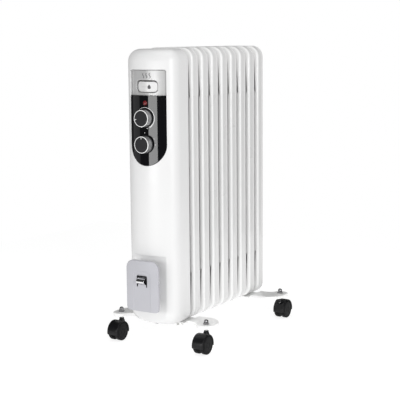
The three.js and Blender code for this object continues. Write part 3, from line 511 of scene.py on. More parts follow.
def cover_plan(inset, corner_steps=14, crown_steps=56):
    lean = math.asin((COVER_HALF - CORNER) / (CROWN - CORNER))
    corner_x = COVER_HALF - CORNER
    corner_y = CROWN_CENTRE - (CROWN - CORNER) * math.cos(lean)
    corner, arc, half = CORNER - inset, CROWN - inset, COVER_HALF - inset
    points = [(-half, COVER_REAR), (-half, COVER_REAR - 14), (-half, corner_y + 8)]
    for step in range(corner_steps + 1):
        turn = (math.pi / 2 - lean) * step / corner_steps
        points.append((-corner_x - corner * math.cos(turn), corner_y - corner * math.sin(turn)))
    for step in range(1, crown_steps):
        turn = lean * (2 * step / crown_steps - 1)
        points.append((arc * math.sin(turn), CROWN_CENTRE - arc * math.cos(turn)))
    for step in range(corner_steps, -1, -1):
        turn = (math.pi / 2 - lean) * step / corner_steps
        points.append((corner_x + corner * math.cos(turn), corner_y - corner * math.sin(turn)))
    return points + [(half, corner_y + 8), (half, COVER_REAR - 14), (half, COVER_REAR)]


RECESS_FACE, RECESS_TOP = COVER_FRONT + 9.6, BASE + 150
RECESS_EDGE = 1.2  # height of the rounding at its top


def recess_limit(z):
    """The front-most depth the cover may have at a height: the recess is a flat face."""
    if z >= RECESS_TOP:
        return COVER_FRONT - 1
    fall = min(1.0, (RECESS_TOP - z) / RECESS_EDGE)
    return COVER_FRONT + (RECESS_FACE - COVER_FRONT) * math.sin(fall * math.pi / 2)


def cover_rows():
    low, high = COVER_LOW[2], COVER_HIGH[2]
    stations = []
    for step in range(15):
        turn = math.pi / 2 * step / 14
        stations.append((ROUND * (1 - math.sin(turn)), low + ROUND * (1 - math.cos(turn))))
    heights = [40, 60, 80, 100, 120, 140, 148, 148.8, 149.1, 149.4, 149.7, 149.85, 149.95]
    heights += [150, 151.5, 170, 250]
    stations += [(0, low + z) for z in heights]
    for step in range(14, -1, -1):
        turn = math.pi / 2 * step / 14
        stations.append((ROUND * (1 - math.sin(turn)), high - ROUND * (1 - math.cos(turn))))
    rows = []
    for inset, z in stations:
        limit = recess_limit(z)
        rows.append([(x, max(y, limit), z) for x, y in cover_plan(inset)])
    return rows


PANEL_HALF, PANEL_LOW, PANEL_TOP = 44.5, BASE + 338, BASE + 535.5
COLLAR_WALL, COLLAR_DEPTH, EDGE = 1.6, 11, 0.9


def panel_outline(grow, y_of, arc_steps=48, side_steps=10, corner=4.0):
    """Loop round the control panel; y_of gives each point's depth from its x."""
    half, low, high = PANEL_HALF + grow, PANEL_LOW + PANEL_HALF, PANEL_TOP + grow
    corner = corner + grow
    points = []
    for step in range(arc_steps + 1):
        turn = math.pi + math.pi * step / arc_steps
        points.append((half * math.cos(turn), low + half * math.sin(turn)))
    for step in range(1, side_steps):
        points.append((half, low + (high - corner - low) * step / side_steps))
    for step in range(7):
        turn = math.pi / 2 * step / 6
        points.append((half - corner + corner * math.cos(turn), high - corner + corner * math.sin(turn)))
    wide = half - corner
    for step in range(1, 16):
        points.append((wide - 2 * wide * step / 16, high))
    for step in range(7):
        turn = math.pi / 2 + math.pi / 2 * step / 6
        points.append((corner - half + corner * math.cos(turn), high - corner + corner * math.sin(turn)))
    for step in range(1, side_steps):
        points.append((-half, high - corner - (high - corner - low) * step / side_steps))
    return [(x, y_of(x), z) for x, z in points]


def front_cover():
    bm = bmesh.new()
    add_loops(bm, cover_rows(), around=False)
    cover = emit("front_cover_shell", bm, moulding, ROOT, ("front_cover",), angle=28)
    thicken = cover.modifiers.new("wall", "SOLIDIFY")
    thicken.thickness = WALL * MM
    thicken.offset = -1
    apply_modifiers(cover)
    cutter = cutter_from([panel_outline(EDGE, lambda x: COVER_FRONT + y) for y in (-5, 30)])
    cut_with(cover, cutter, 28)
    loops = [panel_outline(EDGE, lambda x: crown(x) + 0.01)]
    for u, v in quarter(EDGE, 0.0, 0.0, EDGE, 4, True)[1:]:
        loops.append(panel_outline(u, lambda x: crown(x, v)))
    loops.append(panel_outline(0, lambda x: crown(x, COLLAR_DEPTH)))
    loops.append(panel_outline(COLLAR_WALL, lambda x: crown(min(46, max(-46, x)), COLLAR_DEPTH)))
    loops.append(panel_outline(COLLAR_WALL, lambda x: crown(x, 1.0)))
    loops.append(loops[0])
    from_loops("panel_collar", loops, moulding, ROOT, start=False, end=False, angle=28)


front_cover()

# ------------------------------------------------------------------ control panel


def patch(name, half_at, heights, set_back, material, nodes, rows=40, columns=48, thick=2.4, edge=0.35):
    """Curved panel that follows the cover's crown, half_at(z) wide each way, with eased edges."""
    bm = bmesh.new()
    z_low, z_high = heights
    front, rear = [], []
    for j in range(rows + 1):
        t = 0.5 - 0.5 * math.cos(math.pi * j / rows)
        z = z_low + (z_high - z_low) * t
        half = half_at(z)
        line, back = [], []
        for i in range(columns + 1):
            u = 2 * i / columns - 1
            x = half * u
            rim = edge if i in (0, columns) or j in (0, rows) else 0.0
            line.append(bm.verts.new((x, crown(x, set_back + rim), z)))
            back.append(bm.verts.new((x, crown(x, set_back + thick), z)))
        front.append(line)
        rear.append(back)
    for sheet in (front, rear):
        for a, b in zip(sheet, sheet[1:]):
            for i in range(columns):
                bm.faces.new((a[i], a[i + 1], b[i + 1], b[i]))
    for j in range(rows):
        for i in (0, columns):
            bm.faces.new((front[j][i], front[j + 1][i], rear[j + 1][i], rear[j][i]))
    for i in range(columns):
        for j in (0, rows):
            bm.faces.new((front[j][i], front[j][i + 1], rear[j][i + 1], rear[j][i]))
    return emit(name, bm, material, ROOT, nodes, angle=40)


SPLIT = BASE + 483  # where the bezel meets the fascia
BEZEL_BACK, FASCIA_BACK = 4.5, 0.4
BEZEL_HALF, BEZEL_TOP, FASCIA_HALF = 43.5, BASE + 534.4, 44.2
ROCKER_X, ROCKER_Z = -0.5, BASE + 501.5
TUB_HALF, TUB_TALL, TUB_CORNER, TUB_WALL, TUB_DEPTH = 27, 12.5, 9, 1.2, 10


def rocker_outline(grow, y_of):
    low, high = ROCKER_Z - TUB_TALL - grow, ROCKER_Z + TUB_TALL + grow
    loop = rounded(TUB_HALF + grow, low, high, TUB_CORNER + grow, 0, middle=ROCKER_X)
    return [(x, y_of(x), z) for x, _, z in loop]


def control_bezel():
    heights = (SPLIT + 0.3, BEZEL_TOP)
    bezel = patch("control_bezel_skin", lambda z: BEZEL_HALF, heights, BEZEL_BACK, silver, ("control_bezel",))
    cutter = cutter_from([rocker_outline(EDGE, lambda x: COVER_FRONT + y) for y in (-5, 40)])
    cut_with(bezel, cutter, 35)
    loops = [rocker_outline(EDGE, lambda x: crown(x, BEZEL_BACK))]
    for u, v in quarter(EDGE, 0.0, 0.0, EDGE, 4, True)[1:]:
        loops.append(rocker_outline(u, lambda x: crown(x, BEZEL_BACK + v)))
    for grow, back in ((0, TUB_DEPTH), (TUB_WALL, TUB_DEPTH), (TUB_WALL, 1)):
        loops.append(rocker_outline(grow, lambda x: crown(x, BEZEL_BACK + back)))
    loops.append(loops[0])
    from_loops("rocker_tub", loops, silver, ROOT, start=False, end=False, angle=30)


control_bezel()


def fascia_half(z):
    """Half the fascia's width at z: straight sides above a round lower end."""
    low = PANEL_LOW + PANEL_HALF
    if z >= low:
        return FASCIA_HALF
    return max(0.8, math.sqrt(max(0.0, FASCIA_HALF**2 - (low - z) ** 2)))


patch(
    "control_fascia_skin", fascia_half, (PANEL_LOW + 0.3, SPLIT - 0.3), FASCIA_BACK, gloss,
    ("control_fascia",), rows=90, columns=56,
)

rocker_joint = next(j for j in frame["joints"] if j["name"] == "rocker_tip")
PIVOT = Vector([v / MM for v in rocker_joint["pos_m"]])
ROCKER_REST = math.radians(-6)
ROCKER_HALF, ROCKER_TALL, ROCKER_CORNER, ROCKER_DROP = 25.8, 10.9, 8.1, 0.5
APEX, FALL, FALL_OVER, APEX_ROUND = 7, 6.6, 23, 3


def rocker_front(x):
    """How far the rocker's shallow V stands ahead of the pivot at x from the middle."""
    away = math.sqrt(x * x + APEX_ROUND**2) - APEX_ROUND
    return APEX - FALL * away / FALL_OVER


def on_rocker(x, ahead, z):
    """A point of the tipped rocker, at x and z from its middle and ahead of its pivot."""
    spot = Vector((x, -ahead, z))
    spot.rotate(Matrix.Rotation(ROCKER_REST, 3, "Z"))
    return (PIVOT.x + spot.x, PIVOT.y + spot.y, ROCKER_Z + spot.z)


def rocker():
    steps = [(0, 9.5), (0, 1.3)] + quarter(0, 1.3, 1.3, 0, 5, False)[1:]
    steps += [(inset, 0) for inset in (2.5, 4, 6, 8, 10, 10.6)]
    loops = []
    for inset, back in steps:
        tall, corner = ROCKER_TALL - inset, max(ROCKER_CORNER - inset, 0.3)
        shape = rounded(ROCKER_HALF - inset, -tall, tall, corner, 0, span=16)
        deep = back > 5
        loops.append(
            [on_rocker(x, -4.6 if deep else rocker_front(x) - back, z - ROCKER_DROP) for x, _, z in shape]
        )
    cap = from_loops("rocker_cap", loops, rocker_white, "rocker", ("rocker_button",), angle=35)
    # Painted shade: the rocker's top side is dark, standing for the shadow in the gap above it.
    painted_shade_edge = ROCKER_Z - ROCKER_DROP + ROCKER_TALL - 0.45
    paint(cap, dark, lambda centre: centre[2] > painted_shade_edge)
    bm = bmesh.new()
    drop = []
    for step in range(28):
        turn = 2 * math.pi * step / 28
        rise = math.cos(turn)
        u, w = 8.4 + 3.2 * math.sin(turn) * (1 - 0.5 * rise), 4.6 * rise - 0.6
        drop.append(bm.verts.new(on_rocker(u, rocker_front(u) + 0.06, w)))
    bm.faces.new(drop)
    emit("rocker_icon", bm, print_grey, "rocker")


rocker()

LIFT = 0.07  # of printed marks off their panel


def mark(name, points, widths, set_back, material):
    """Printed stroke on the curved panel, along points of (x, z)."""
    bm = bmesh.new()
    left, right = [], []
    for index, (x, z) in enumerate(points):
        ax, az = points[max(index - 1, 0)]
        bx, bz = points[min(index + 1, len(points) - 1)]
        length = math.hypot(bx - ax, bz - az)
        nx, nz = (az - bz) / length, (bx - ax) / length
        w = widths[index] / 2
        for side, line in ((1, left), (-1, right)):
            px, pz = x + side * nx * w, z + side * nz * w
            line.append(bm.verts.new((px, crown(px, set_back) - LIFT, pz)))
    for i in range(len(points) - 1):
        bm.faces.new((left[i], left[i + 1], right[i + 1], right[i]))
    return emit(name, bm, material, ROOT)


def dot(name, x, z, radius, set_back, material):
    bm = bmesh.new()
    edge = ring(x, 0, z, radius, steps=20)
    bm.faces.new([bm.verts.new((px, crown(px, set_back) - LIFT, pz)) for px, _, pz in edge])
    return emit(name, bm, material, ROOT)


THERMO_Z, POWER_Z = BASE + 437, BASE + 383
SCALE_RADIUS, SCALE_X = 21.8, -1.2


def panel_marks():
    arc, widths = [], []
    for step in range(41):
        t = step / 40
        turn = math.radians(140 - 200 * t)
        arc.append((SCALE_RADIUS * math.cos(turn) + SCALE_X, THERMO_Z + SCALE_RADIUS * math.sin(turn)))
        widths.append(0.35 + 2.0 * t)
    mark("thermostat_scale", arc, widths, FASCIA_BACK, print_white)
    # height of the knob, angle round it, distance from its middle, radius of the dot
    spots = ((THERMO_Z, 243, 22, 0.7), (THERMO_Z, 282, 21.5, 1.0))
    spots += ((POWER_Z, 95, 24, 0.8), (POWER_Z, 31, 22.5, 0.8), (POWER_Z, -1, 21.5, 0.9))
    for index, (middle, angle, away, size) in enumerate(spots):
        turn = math.radians(angle)
        x, z = away * math.cos(turn), middle + away * math.sin(turn)
        dot(f"scale_dot_{index}", x, z, size, FASCIA_BACK, print_white)
    for index in range(3):
        x = -7 + 8 * index
        wave = []
        for step in range(15):
            t = step / 14
            wave.append((x + 1.5 * math.sin(2 * math.pi * t), BASE + 518.5 + 10 * t))
        mark(f"heat_wave_{index}", wave, [1.3] * 15, BEZEL_BACK, print_grey)


panel_marks()

KNOB_STAND = 0.8  # how far a knob's rear is ahead of the cover's crown
SHADOW_SKIRT_TOP, HIGHLIGHT_RIM_DEPTH = 1.3, 0.95  # heights of the dark skirt, painted shadow at the knob's base, and of the white rim, a painted highlight on its front edge
POINTER = ((11.5, -0.55), (15.0, -0.8), (15.0, 0.8), (11.5, 0.55))  # out from the middle, across


def knob_profile(height):
    """Shaft, skirt, side, rim and cap seat: radius, and height ahead of the skirt's rear."""
    profile = [(3, -4), (3, 0.01), (18.6, 0)] + quarter(18.6, 0, 19.0, 0.5, 3)
    profile += [(18.8, 1.0), (17.0, 1.2), (16.8, 2.4), (17.2, height - 4.2), (17.35, height - 1.2)]
    profile += quarter(17.3, height - 0.9, 16.8, height, 6, False)
    profile += [(16.1, height)] + quarter(16.1, height, 15.9, height - 0.5, 3)
    return profile + [(15.85, height - 1.6), (0.02, height - 1.6)]


def cap_profile(height):
    """Slightly dished disc in the knob's front."""
    profile = [(15.8, height - 1.5), (15.8, height - 0.5)]
    profile += quarter(15.8, height - 0.5, 15.4, height - 0.05, 4, False)[1:]
    return profile + [(10, height - 0.1), (5, height - 0.2), (0.02, height - 0.22)]


def knob(name, z, pointer, body, nodes):
    rear = COVER_FRONT - KNOB_STAND
    height = rear - low_of(nodes[0])[1]
    bm = bmesh.new()
    turned(bm, knob_profile(height), (0, rear, z), "y", -1, 96)
    side = emit(f"{name}_ring", bm, knob_silver, body, (nodes[0],), angle=40)
    # Painted highlight on the knob's front rim.
    paint(side, knob_rim_painted_highlight, lambda centre: centre[1] < rear - height + HIGHLIGHT_RIM_DEPTH)
    # Painted shadow: the knob's flared base is dark, standing for the shadow gap where it meets the panel.
    paint(side, knob_grey, lambda centre: centre[1] > rear - SHADOW_SKIRT_TOP)
    bm = bmesh.new()
    turned(bm, cap_profile(height), (0, rear, z), "y", -1, 96)
    emit(f"{name}_face", bm, knob_grey, body, (nodes[1],), angle=40)
    bm = bmesh.new()
    turn = math.radians(pointer)
    c, s = math.cos(turn), math.sin(turn)
    corners = []
    for out, across in POINTER:
        corners.append(bm.verts.new((out * c - across * s, rear - height, z + out * s + across * c)))
    bm.faces.new(corners)
    emit(f"{name}_pointer", bm, print_white, body)


knob("thermostat", THERMO_Z, 190, "thermostat_dial", ("thermostat_knob", "thermostat_knob_cap"))
knob("power", POWER_Z, 90, "power_dial", ("power_knob", "power_knob_cap"))


def indicator():
    profile = [(4, -8), (4, -0.3), (4.9, -0.3), (4.9, 0.2)] + quarter(4.8, 0.2, 0.02, 3.0, 8, False)
    bm = bmesh.new()
    turned(bm, profile, (0, COVER_FRONT, BASE + 468), "y", -1, 40)
    emit("indicator_dome", bm, lens_red, ROOT, ("indicator_lens",))


indicator()

# ------------------------------------------------------------------ cord storage

PLATE_LOW, PLATE_HIGH = low_of("cord_plate"), high_of("cord_plate")
PLATE_FRONT = PLATE_LOW[1] + 0.8
PLATE_WALL, PLATE_TOP_CORNER, PLATE_LOW_CORNER, BOW = 2, 18, 9, 300.0
PAD_HALF, PAD_TOP, PAD_CORNER, PAD_SUNK = 21, BASE + 119.5, 10, 0.9
SLOT_HALF, SLOT_LOW, SLOT_HIGH, SLOT_CORNER = 13, BASE + 86.8, BASE + 112.8, 5
TONGUE_HALF, TONGUE_TOP = 9.8, BASE + 91.8
NOTCHES, NOTCH_HEIGHT = (BASE + 91, BASE + 101), 4


def bowed(loop, back):
    return [(x, PLATE_FRONT + x * x / (2 * BOW) + back, z) for x, _, z in loop]


def plate_outline(inset):
    low, high = PLATE_LOW[2] + inset, PLATE_HIGH[2] - inset
    upper, lower = max(PLATE_TOP_CORNER - inset, 0.2), max(PLATE_LOW_CORNER - inset, 0.2)
    return rounded(PLATE_HIGH[0] - inset, low, high, upper, 0, lower, 10, 20)


def pad_cutter():
    """The middle of the plate is sunk, with sloped sides."""
    slope, loops = PAD_SUNK + 0.2, []
    for grow, back in ((slope, -3), (slope, -0.05), (0, PAD_SUNK)):
        half, low, high = PAD_HALF + grow, PLATE_LOW[2] - 3, PAD_TOP + grow
        loops.append(bowed(rounded(half, low, high, PAD_CORNER + grow, 0, 0.2, 8, 14), back))
    return cutter_from(loops)


def slot_cutter():
    """Window with the short tongue that the clip stands on."""
    shape = [(-SLOT_HALF, SLOT_LOW), (-TONGUE_HALF, SLOT_LOW), (-TONGUE_HALF, TONGUE_TOP)]
    shape += [(TONGUE_HALF, TONGUE_TOP), (TONGUE_HALF, SLOT_LOW), (SLOT_HALF, SLOT_LOW)]
    inner = SLOT_HALF - SLOT_CORNER
    for middle, begin in ((inner, 0), (-inner, math.pi / 2)):
        for step in range(9):
            turn = begin + math.pi / 2 * step / 8
            x = middle + SLOT_CORNER * math.cos(turn)
            shape.append((x, SLOT_HIGH - SLOT_CORNER + SLOT_CORNER * math.sin(turn)))
    return cutter_from([[(x, y, z) for x, z in shape] for y in (PLATE_FRONT - 5, PLATE_FRONT + 5)])


def notch_cutter(low, rear):
    corners = [(-45, low), (45, low), (45, low + NOTCH_HEIGHT), (-45, low + NOTCH_HEIGHT)]
    return cutter_from([[(x, y, z) for x, z in corners] for y in (rear - 3, rear + 3)])


def cord_plate():
    rear = PLATE_HIGH[1]
    across = (2.2, 4, 7, 11, 16, 21, 26, 31, 36, 39.5)
    loops = [bowed(plate_outline(i), PLATE_WALL) for i in reversed(across)]
    loops += [[(x, rear, z) for x, _, z in plate_outline(i)] for i in (1.9, 0)]
    loops += [bowed(plate_outline(u), v) for u, v in quarter(0, 1.1, 1.1, 0, 4, False)]
    loops += [bowed(plate_outline(i), 0) for i in across]
    plate = from_loops("cord_plate_shell", loops, storage, ROOT, ("cord_plate",), angle=35)
    cut_with(plate, pad_cutter(), 20)
    cut_with(plate, slot_cutter(), 20)
    for low in NOTCHES:
        cut_with(plate, notch_cutter(low, rear), 35)


cord_plate()


def plug_clip():
    low, high = low_of("plug_clip"), high_of("plug_clip")
    left, right = low[0], high[0]
    behind, root, start, end = PLATE_FRONT + 3.2, low[2] + 0.2, TONGUE_TOP, BASE + 107
    reach = behind - (low[1] + 0.5)
    section = [(left, -0.25), (left + 0.25, -0.5), (right - 0.25, -0.5), (right, -0.25)]
    section += [(right, 0.25), (right - 0.25, 0.5), (left + 0.25, 0.5), (left, 0.25)]
    path = [(behind, root + (start - root) * t / 4) for t in range(4)]
    for step in range(29):
        t = step / 28
        path.append((behind - reach * math.sin(math.pi * t), start + (end - start) * t))
    loops = []
    for index, (y, z) in enumerate(path):
        a, b = path[max(index - 1, 0)], path[min(index + 1, len(path) - 1)]
        length = math.hypot(b[0] - a[0], b[1] - a[1])
        ny, nz = -(b[1] - a[1]) / length, (b[0] - a[0]) / length
        loops.append([(x, y + ny * s, z + nz * s) for x, s in section])
    from_loops("plug_clip_strip", loops, chrome, ROOT, ("plug_clip",), angle=40)


plug_clip()


def cord_spool():
    low, high = low_of("cord_spool"), high_of("cord_spool")
    half, bottom, top = high[0], low[2], high[2]

    def outline(inset, y):
        return rounded(half - inset, bottom + inset, top - inset, 10 - inset, y)

    front, rear = low[1], high[1]
    floor = (front + rear) / 2
    loops = [outline(2.5, floor), outline(2.5, front + 0.4), outline(2.1, front), outline(0.5, front)]
    loops += [outline(0, front + 0.5), outline(0, rear - 0.5), outline(0.5, rear), outline(2.5, rear)]
    loops += [outline(2.5, floor + 2.5)]
    hub = from_loops("cord_spool_hub", loops, storage, ROOT, ("cord_spool",), angle=35)

    # Painted shade: the hub's hollow is dark, standing for the shadow seen through the slot above the clip.
    def painted_shade_hollow(centre):
        x, y, z = centre
        return y < floor + 0.2 and abs(x) < half - 2.2 and bottom + 2.2 < z < top - 2.2

    paint(hub, dark, painted_shade_hollow)


cord_spool()

# ------------------------------------------------------------------ feet

BRACKET_OUTER, BRACKET_INNER, SHEET_STEEL, FLANGE = 2, 52, 2.0, 6.5
LOBE_X, LOBE_Y, LOBE_RADIUS, NECK, SHOULDER = 108, -2, 18.5, 72, 16
KNEE_IN, KNEE_OUT = 53, 61  # between these the bracket steps down to pass below the fins
FLANGE_BEGIN, FLANGE_EASE = 62, 5  # where its edge starts to deepen, and over what distance
STEMS = {}
for joint in frame["joints"]:
    if joint["name"].endswith("_swivel"):
        tag = joint["name"].removeprefix("castor_").removesuffix("_swivel")
        STEMS[tag] = [v / MM for v in joint["pos_m"]]


def bend(a, control, b, count):
    """Points of a quadratic curve from a towards b, without its end."""
    points = []
    for i in range(count):
        t = i / count
        points.append(
            tuple((1 - t) ** 2 * p + 2 * t * (1 - t) * c + t * t * q for p, c, q in zip(a, control, b))
        )
    return points


def lobed_plan(inset, steps=18):
    """Plan of the front bracket about the middle of its castor stems, with a lobe at each end."""
    x, y, radius = LOBE_X, LOBE_Y, LOBE_RADIUS - inset
    outer, inner = BRACKET_OUTER + inset, BRACKET_INNER - inset
    neck_end = (x - radius * math.cos(0.6), y - radius * math.sin(0.6))
    right = [(0.0, outer), (30.0, outer), (48.0, outer)]
    right += [(48.0 + (NECK - 48.0) * i / 8, outer) for i in range(1, 8)]
    right += bend((NECK, outer), (x - LOBE_RADIUS, outer), neck_end, 10)
    for i in range(steps):
        turn = math.pi + 0.6 + (math.pi - 0.6) * i / steps
        right.append((x + radius * math.cos(turn), y + radius * math.sin(turn)))
    right.append((x + radius, y))
    right += bend(
        (x + radius, y + SHOULDER), (x + radius, inner - SHOULDER), (x - SHOULDER / 2, inner), 12
    )
    right += [(v, inner) for v in (x - SHOULDER / 2, 80.0, 66.0, 48.0, 30.0, 0.0)]
    left = [(-px, py) for px, py in reversed(right[1:-1])]
    return right + left


def eased(t):
    t = min(1.0, max(0.0, t))
    return t * t * (3 - 2 * t)


def bracket_y(side):
    return STEMS["fr" if side < 0 else "rr"][1]


def bracket(name, side):
    """Foot bracket; the rear one is the front one turned end for end."""
    top = high_of(name)[2]
    raised = top - (FIN_FLOOR - 0.3)

    def deep(x):
        return SHEET_STEEL + (FLANGE - SHEET_STEEL) * eased((abs(x) - FLANGE_BEGIN) / FLANGE_EASE)

    def loop(inset, z_of):
        return [(x, y, z_of(x)) for x, y in lobed_plan(inset)]

    loops = [loop(1.8, lambda x: -SHEET_STEEL), loop(1.8, lambda x: -deep(x))]
    loops += [loop(0.15, lambda x: -deep(x)), loop(0, lambda x: 0.3 - deep(x)), loop(0, lambda x: -1.8)]
    for u, v in quarter(0, -1.8, 1.8, 0, 5, False)[1:]:
        loops.append(loop(u, lambda x: v))
    loops.append(loop(3.0, lambda x: 0.0))
    bm = bmesh.new()
    add_loops(bm, loops)
    for x in [s * v for v in range(KNEE_IN - 3, KNEE_OUT + 4) for s in (-1, 1)]:
        geometry = bm.verts[:] + bm.edges[:] + bm.faces[:]
        bmesh.ops.bisect_plane(bm, geom=geometry, plane_co=(x, 0, 0), plane_no=(1, 0, 0))
    for vert in bm.verts:
        vert.co.z += top - raised * eased((KNEE_OUT - abs(vert.co.x)) / (KNEE_OUT - KNEE_IN))
    piece = emit(f"{name}_pressing", bm, bracket_white, ROOT, (name,), angle=30)
    for vert in piece.data.vertices:
        vert.co.x, vert.co.y = -side * vert.co.x, bracket_y(side) * MM - side * vert.co.y


bracket("foot_bracket_front", -1)
bracket("foot_bracket_rear", 1)


def acorn_nut(tag, x, y):
    name = f"castor_{tag}_acorn_nut"
    base, top = low_of(name)[2], high_of(name)[2]
    bm = bmesh.new()
    flange = [(3, 0), (6.6, 0)] + quarter(6.6, 0, 6.8, 0.3, 2)[1:] + [(6.75, 1.0), (5.9, 1.5), (3, 1.6)]
    turned(bm, flange, (x, y, base), "z")
    hexagon = []
    for radius, z in ((5.0, 1.4), (5.75, 1.5), (5.75, 4.7), (5.2, 5.5), (4.2, 5.6)):
        hexagon.append(ring(x, y, base + z, radius, "z", 6))
    add_loops(bm, hexagon)
    dome = [(4.9, 4.6), (4.9, 5.8)] + quarter(4.9, 5.8, 0.02, top - base, 9, False)[1:]
    turned(bm, dome, (x, y, base), "z")
    emit(f"{name}_turned", bm, nickel, ROOT, (name,), angle=35)


def stem(tag, x, y):
    name = f"castor_{tag}_stem"
    low, high = low_of(name)[2], high_of(name)[2]
    end = "front" if tag[0] == "f" else "rear"
    washer = high_of(f"foot_bracket_{end}")[2] - 2.3 - low
    bm = bmesh.new()
    profile = [(2.2, 0), (2.5, 0.4), (2.5, 12.8), (3, 12.8), (3, washer - 2.4)]
    profile += [(5.8, washer - 2.2), (6, washer - 2), (6, washer - 0.2), (5.8, washer)]
    profile += [(3, washer + 0.02), (3, high - low)]
    turned(bm, profile, (x, y, low), "z")
    emit(f"{name}_turned", bm, steel, ROOT, (name,), angle=35)


HOOD_RADIUS, HOOD_HALF, HOOD_BEGIN, HOOD_SWEEP, HOOD_STEPS = 23.5, 13.6, -12, 204, 44


def add_hood(bm, x, y, z):
    """Curved guard over both wheels, with eased ends."""
    rounding = quarter(HOOD_HALF, 21.6, 11.8, 23.3, 5, False)
    section = [(-10.8, 21.3), (10.8, 21.3), (13.2, 21.0), (13.55, 21.5)] + rounding
    section += [(7, HOOD_RADIUS), (0, HOOD_RADIUS), (-7, HOOD_RADIUS)]
    section += [(-u, v) for u, v in reversed(rounding)] + [(-13.55, 21.5), (-13.2, 21.0)]
    loops, web = [], [[] for _ in range(4)]
    for step in range(HOOD_STEPS + 1):
        turn = math.radians(HOOD_BEGIN + HOOD_SWEEP * step / HOOD_STEPS)
        ease = 0.6 * (0.5, 0.15, 0.0)[min(step, HOOD_STEPS - step, 2)]
        loop = []
        for u, v in section:
            radius = v - (ease if v > 22 else 0)
            loop.append((x + u, y + radius * math.cos(turn), z + radius * math.sin(turn)))
        loops.append(loop)
        for line, (u, radius) in zip(web, ((-4, 21.6), (-3.7, 22), (3.7, 22), (4, 21.6))):
            line.append((x + u, y + radius * math.cos(turn), z + radius * math.sin(turn)))
    add_loops(bm, loops)
    add_loops(bm, web)


def wheel(tag, end, x, axle_y, axle_z):
    name = f"castor_{tag}_wheel_{end}"
    centre = (low_of(name)[0] + high_of(name)[0]) / 2
    outward = 1 if centre > x else -1
    profile = [(2.4, -4.4), (17.8, -4.5)] + quarter(18.9, -4.5, 20, -3.4, 4)
    profile += [(20, 2.4)] + quarter(20, 2.6, 18.2, 4.3, 5, False)
    profile += [(16.6, 4.45), (16.1, 4.0), (15.2, 3.9), (14.7, 4.3), (9, 4.45), (6.4, 4.5)]
    profile += [(6.1, 4.1), (5.6, 4.0), (5.2, 4.35), (0.02, 4.5)]
    bm = bmesh.new()
    turned(bm, profile, (centre, axle_y, axle_z), "x", outward, 72)
    emit(f"{name}_turned", bm, tyre, f"wheels_{tag}", (name,), angle=35)


def castor(tag):
    x, y, axle_z = STEMS[tag]
    roll = next(j for j in frame["joints"] if j["name"] == f"castor_{tag}_roll")
    axle_y = roll["pos_m"][1] / MM
    bm = bmesh.new()
    add_hood(bm, x, axle_y, axle_z)
    collar = [(7.2, 19.0), (6.2, 22.3), (5.5, 23.6), (5.2, 24.8), (5.2, 26.6), (4.8, 27), (3.3, 27)]
    turned(bm, collar, (x, y, axle_z), "z")
    emit(f"castor_{tag}_hood_shell", bm, nylon, f"castor_{tag}", (f"castor_{tag}_hood",), angle=35)
    for end in ("a", "b"):
        wheel(tag, end, x, axle_y, axle_z)
    acorn_nut(tag, x, y)
    stem(tag, x, y)


for tag in STEMS:
    castor(tag)

# ------------------------------------------------------------------ carried-over CAD pieces

KEPT = {
    "heating_element": steel,
    "cover_back_plate": steel,
    "thermal_cutout": steel,
    "tilt_switch": beige,
    "thermostat_body": beige,
    "power_switch_body": beige,
    "rocker_switch_body": dark,
    "indicator_lamp": amber,
    "cord_gland": nylon,
    "hook_bolt_front": steel,
    "hook_bolt_rear": steel,
    "wing_nut_front": steel,
    "wing_nut_rear": steel,
}
for name, material in KEPT.items():
    frame["nodes"][name].data.materials.clear()
    frame["nodes"][name].data.materials.append(material)
for tag in STEMS:
    axle = frame["nodes"][f"castor_{tag}_axle"]
    axle.data.materials.clear()
    axle.data.materials.append(steel)

# ------------------------------------------------------------------ stage and light

FLOOR_HALF, FLOOR_DROP, FLOOR_GLOW = 1100, 0.02, 0.82


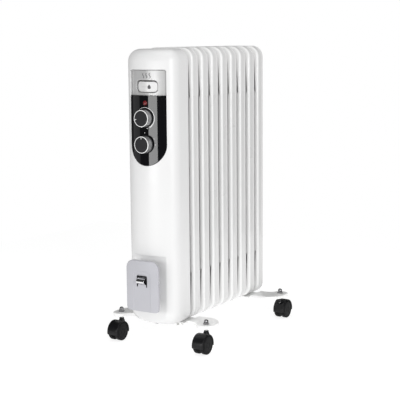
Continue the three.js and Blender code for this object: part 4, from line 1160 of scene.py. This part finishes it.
def stage_floor():
    material = principled("floor", (0.30, 0.30, 0.30), 0.6, specular=0.1)
    shader = material.node_tree.nodes["Principled BSDF"]
    shader.inputs["Emission Color"].default_value = (1, 1, 1, 1)
    shader.inputs["Emission Strength"].default_value = FLOOR_GLOW
    bm = bmesh.new()
    corners = ((-1, -1), (1, -1), (1, 1), (-1, 1))
    bm.faces.new([bm.verts.new((x * FLOOR_HALF, y * FLOOR_HALF, -FLOOR_DROP)) for x, y in corners])
    floor = emit("floor", bm, material, None)


stage_floor()


def area_light(name, place, target, width, height, power):
    data = bpy.data.lights.new(name, "AREA")
    data.shape = "RECTANGLE"
    data.size, data.size_y = width, height
    data.energy = power
    light = bpy.data.objects.new(name, data)
    light.location = place
    light.rotation_euler = (Vector(target) - Vector(place)).to_track_quat("-Z", "Y").to_euler()
    bpy.context.scene.collection.objects.link(light)


area_light("key", (2.0, -1.4, 0.9), (0, -0.1, 0.38), 1.0, 1.4, 23)
area_light("strip", (-0.32, -1.7, 0.33), (0, -0.2, 0.42), 0.72, 0.36, 5.1)
area_light("bezel", (0.2, -1.72, 0.57), (0, -0.2, 0.56), 0.92, 0.13, 1.5)
area_light("dim", (-1.7, -0.85, 0.42), (0, -0.2, 0.42), 0.9, 1.1, 1.15)
area_light("top", (0.3, -0.2, 2.6), (0, 0, 0.3), 2.0, 2.0, 14)

FILL, MIRRORED, BACKDROP = 0.5, 0.05, 1.0  # world's strength for diffuse, glossy and camera rays


def studio_world():
    world = bpy.data.worlds.new("studio")
    bpy.context.scene.world = world
    world.use_nodes = True
    tree = world.node_tree
    shade = tree.nodes["Background"]
    shade.inputs["Color"].default_value = (1, 1, 1, 1)
    shade.inputs["Strength"].default_value = FILL
    paths = tree.nodes.new("ShaderNodeLightPath")
    for ray, strength in (("Is Glossy Ray", MIRRORED), ("Is Camera Ray", BACKDROP)):
        other = tree.nodes.new("ShaderNodeBackground")
        other.inputs["Color"].default_value = (1, 1, 1, 1)
        other.inputs["Strength"].default_value = strength
        choose = tree.nodes.new("ShaderNodeMixShader")
        tree.links.new(paths.outputs[ray], choose.inputs[0])
        tree.links.new(shade.outputs[0], choose.inputs[1])
        tree.links.new(other.outputs[0], choose.inputs[2])
        shade = choose
    tree.links.new(shade.outputs[0], tree.nodes["World Output"].inputs["Surface"])


studio_world()
bpy.context.scene.view_settings.view_transform = "Standard"

# ------------------------------------------------------------------ close

bpy.context.view_layer.update()
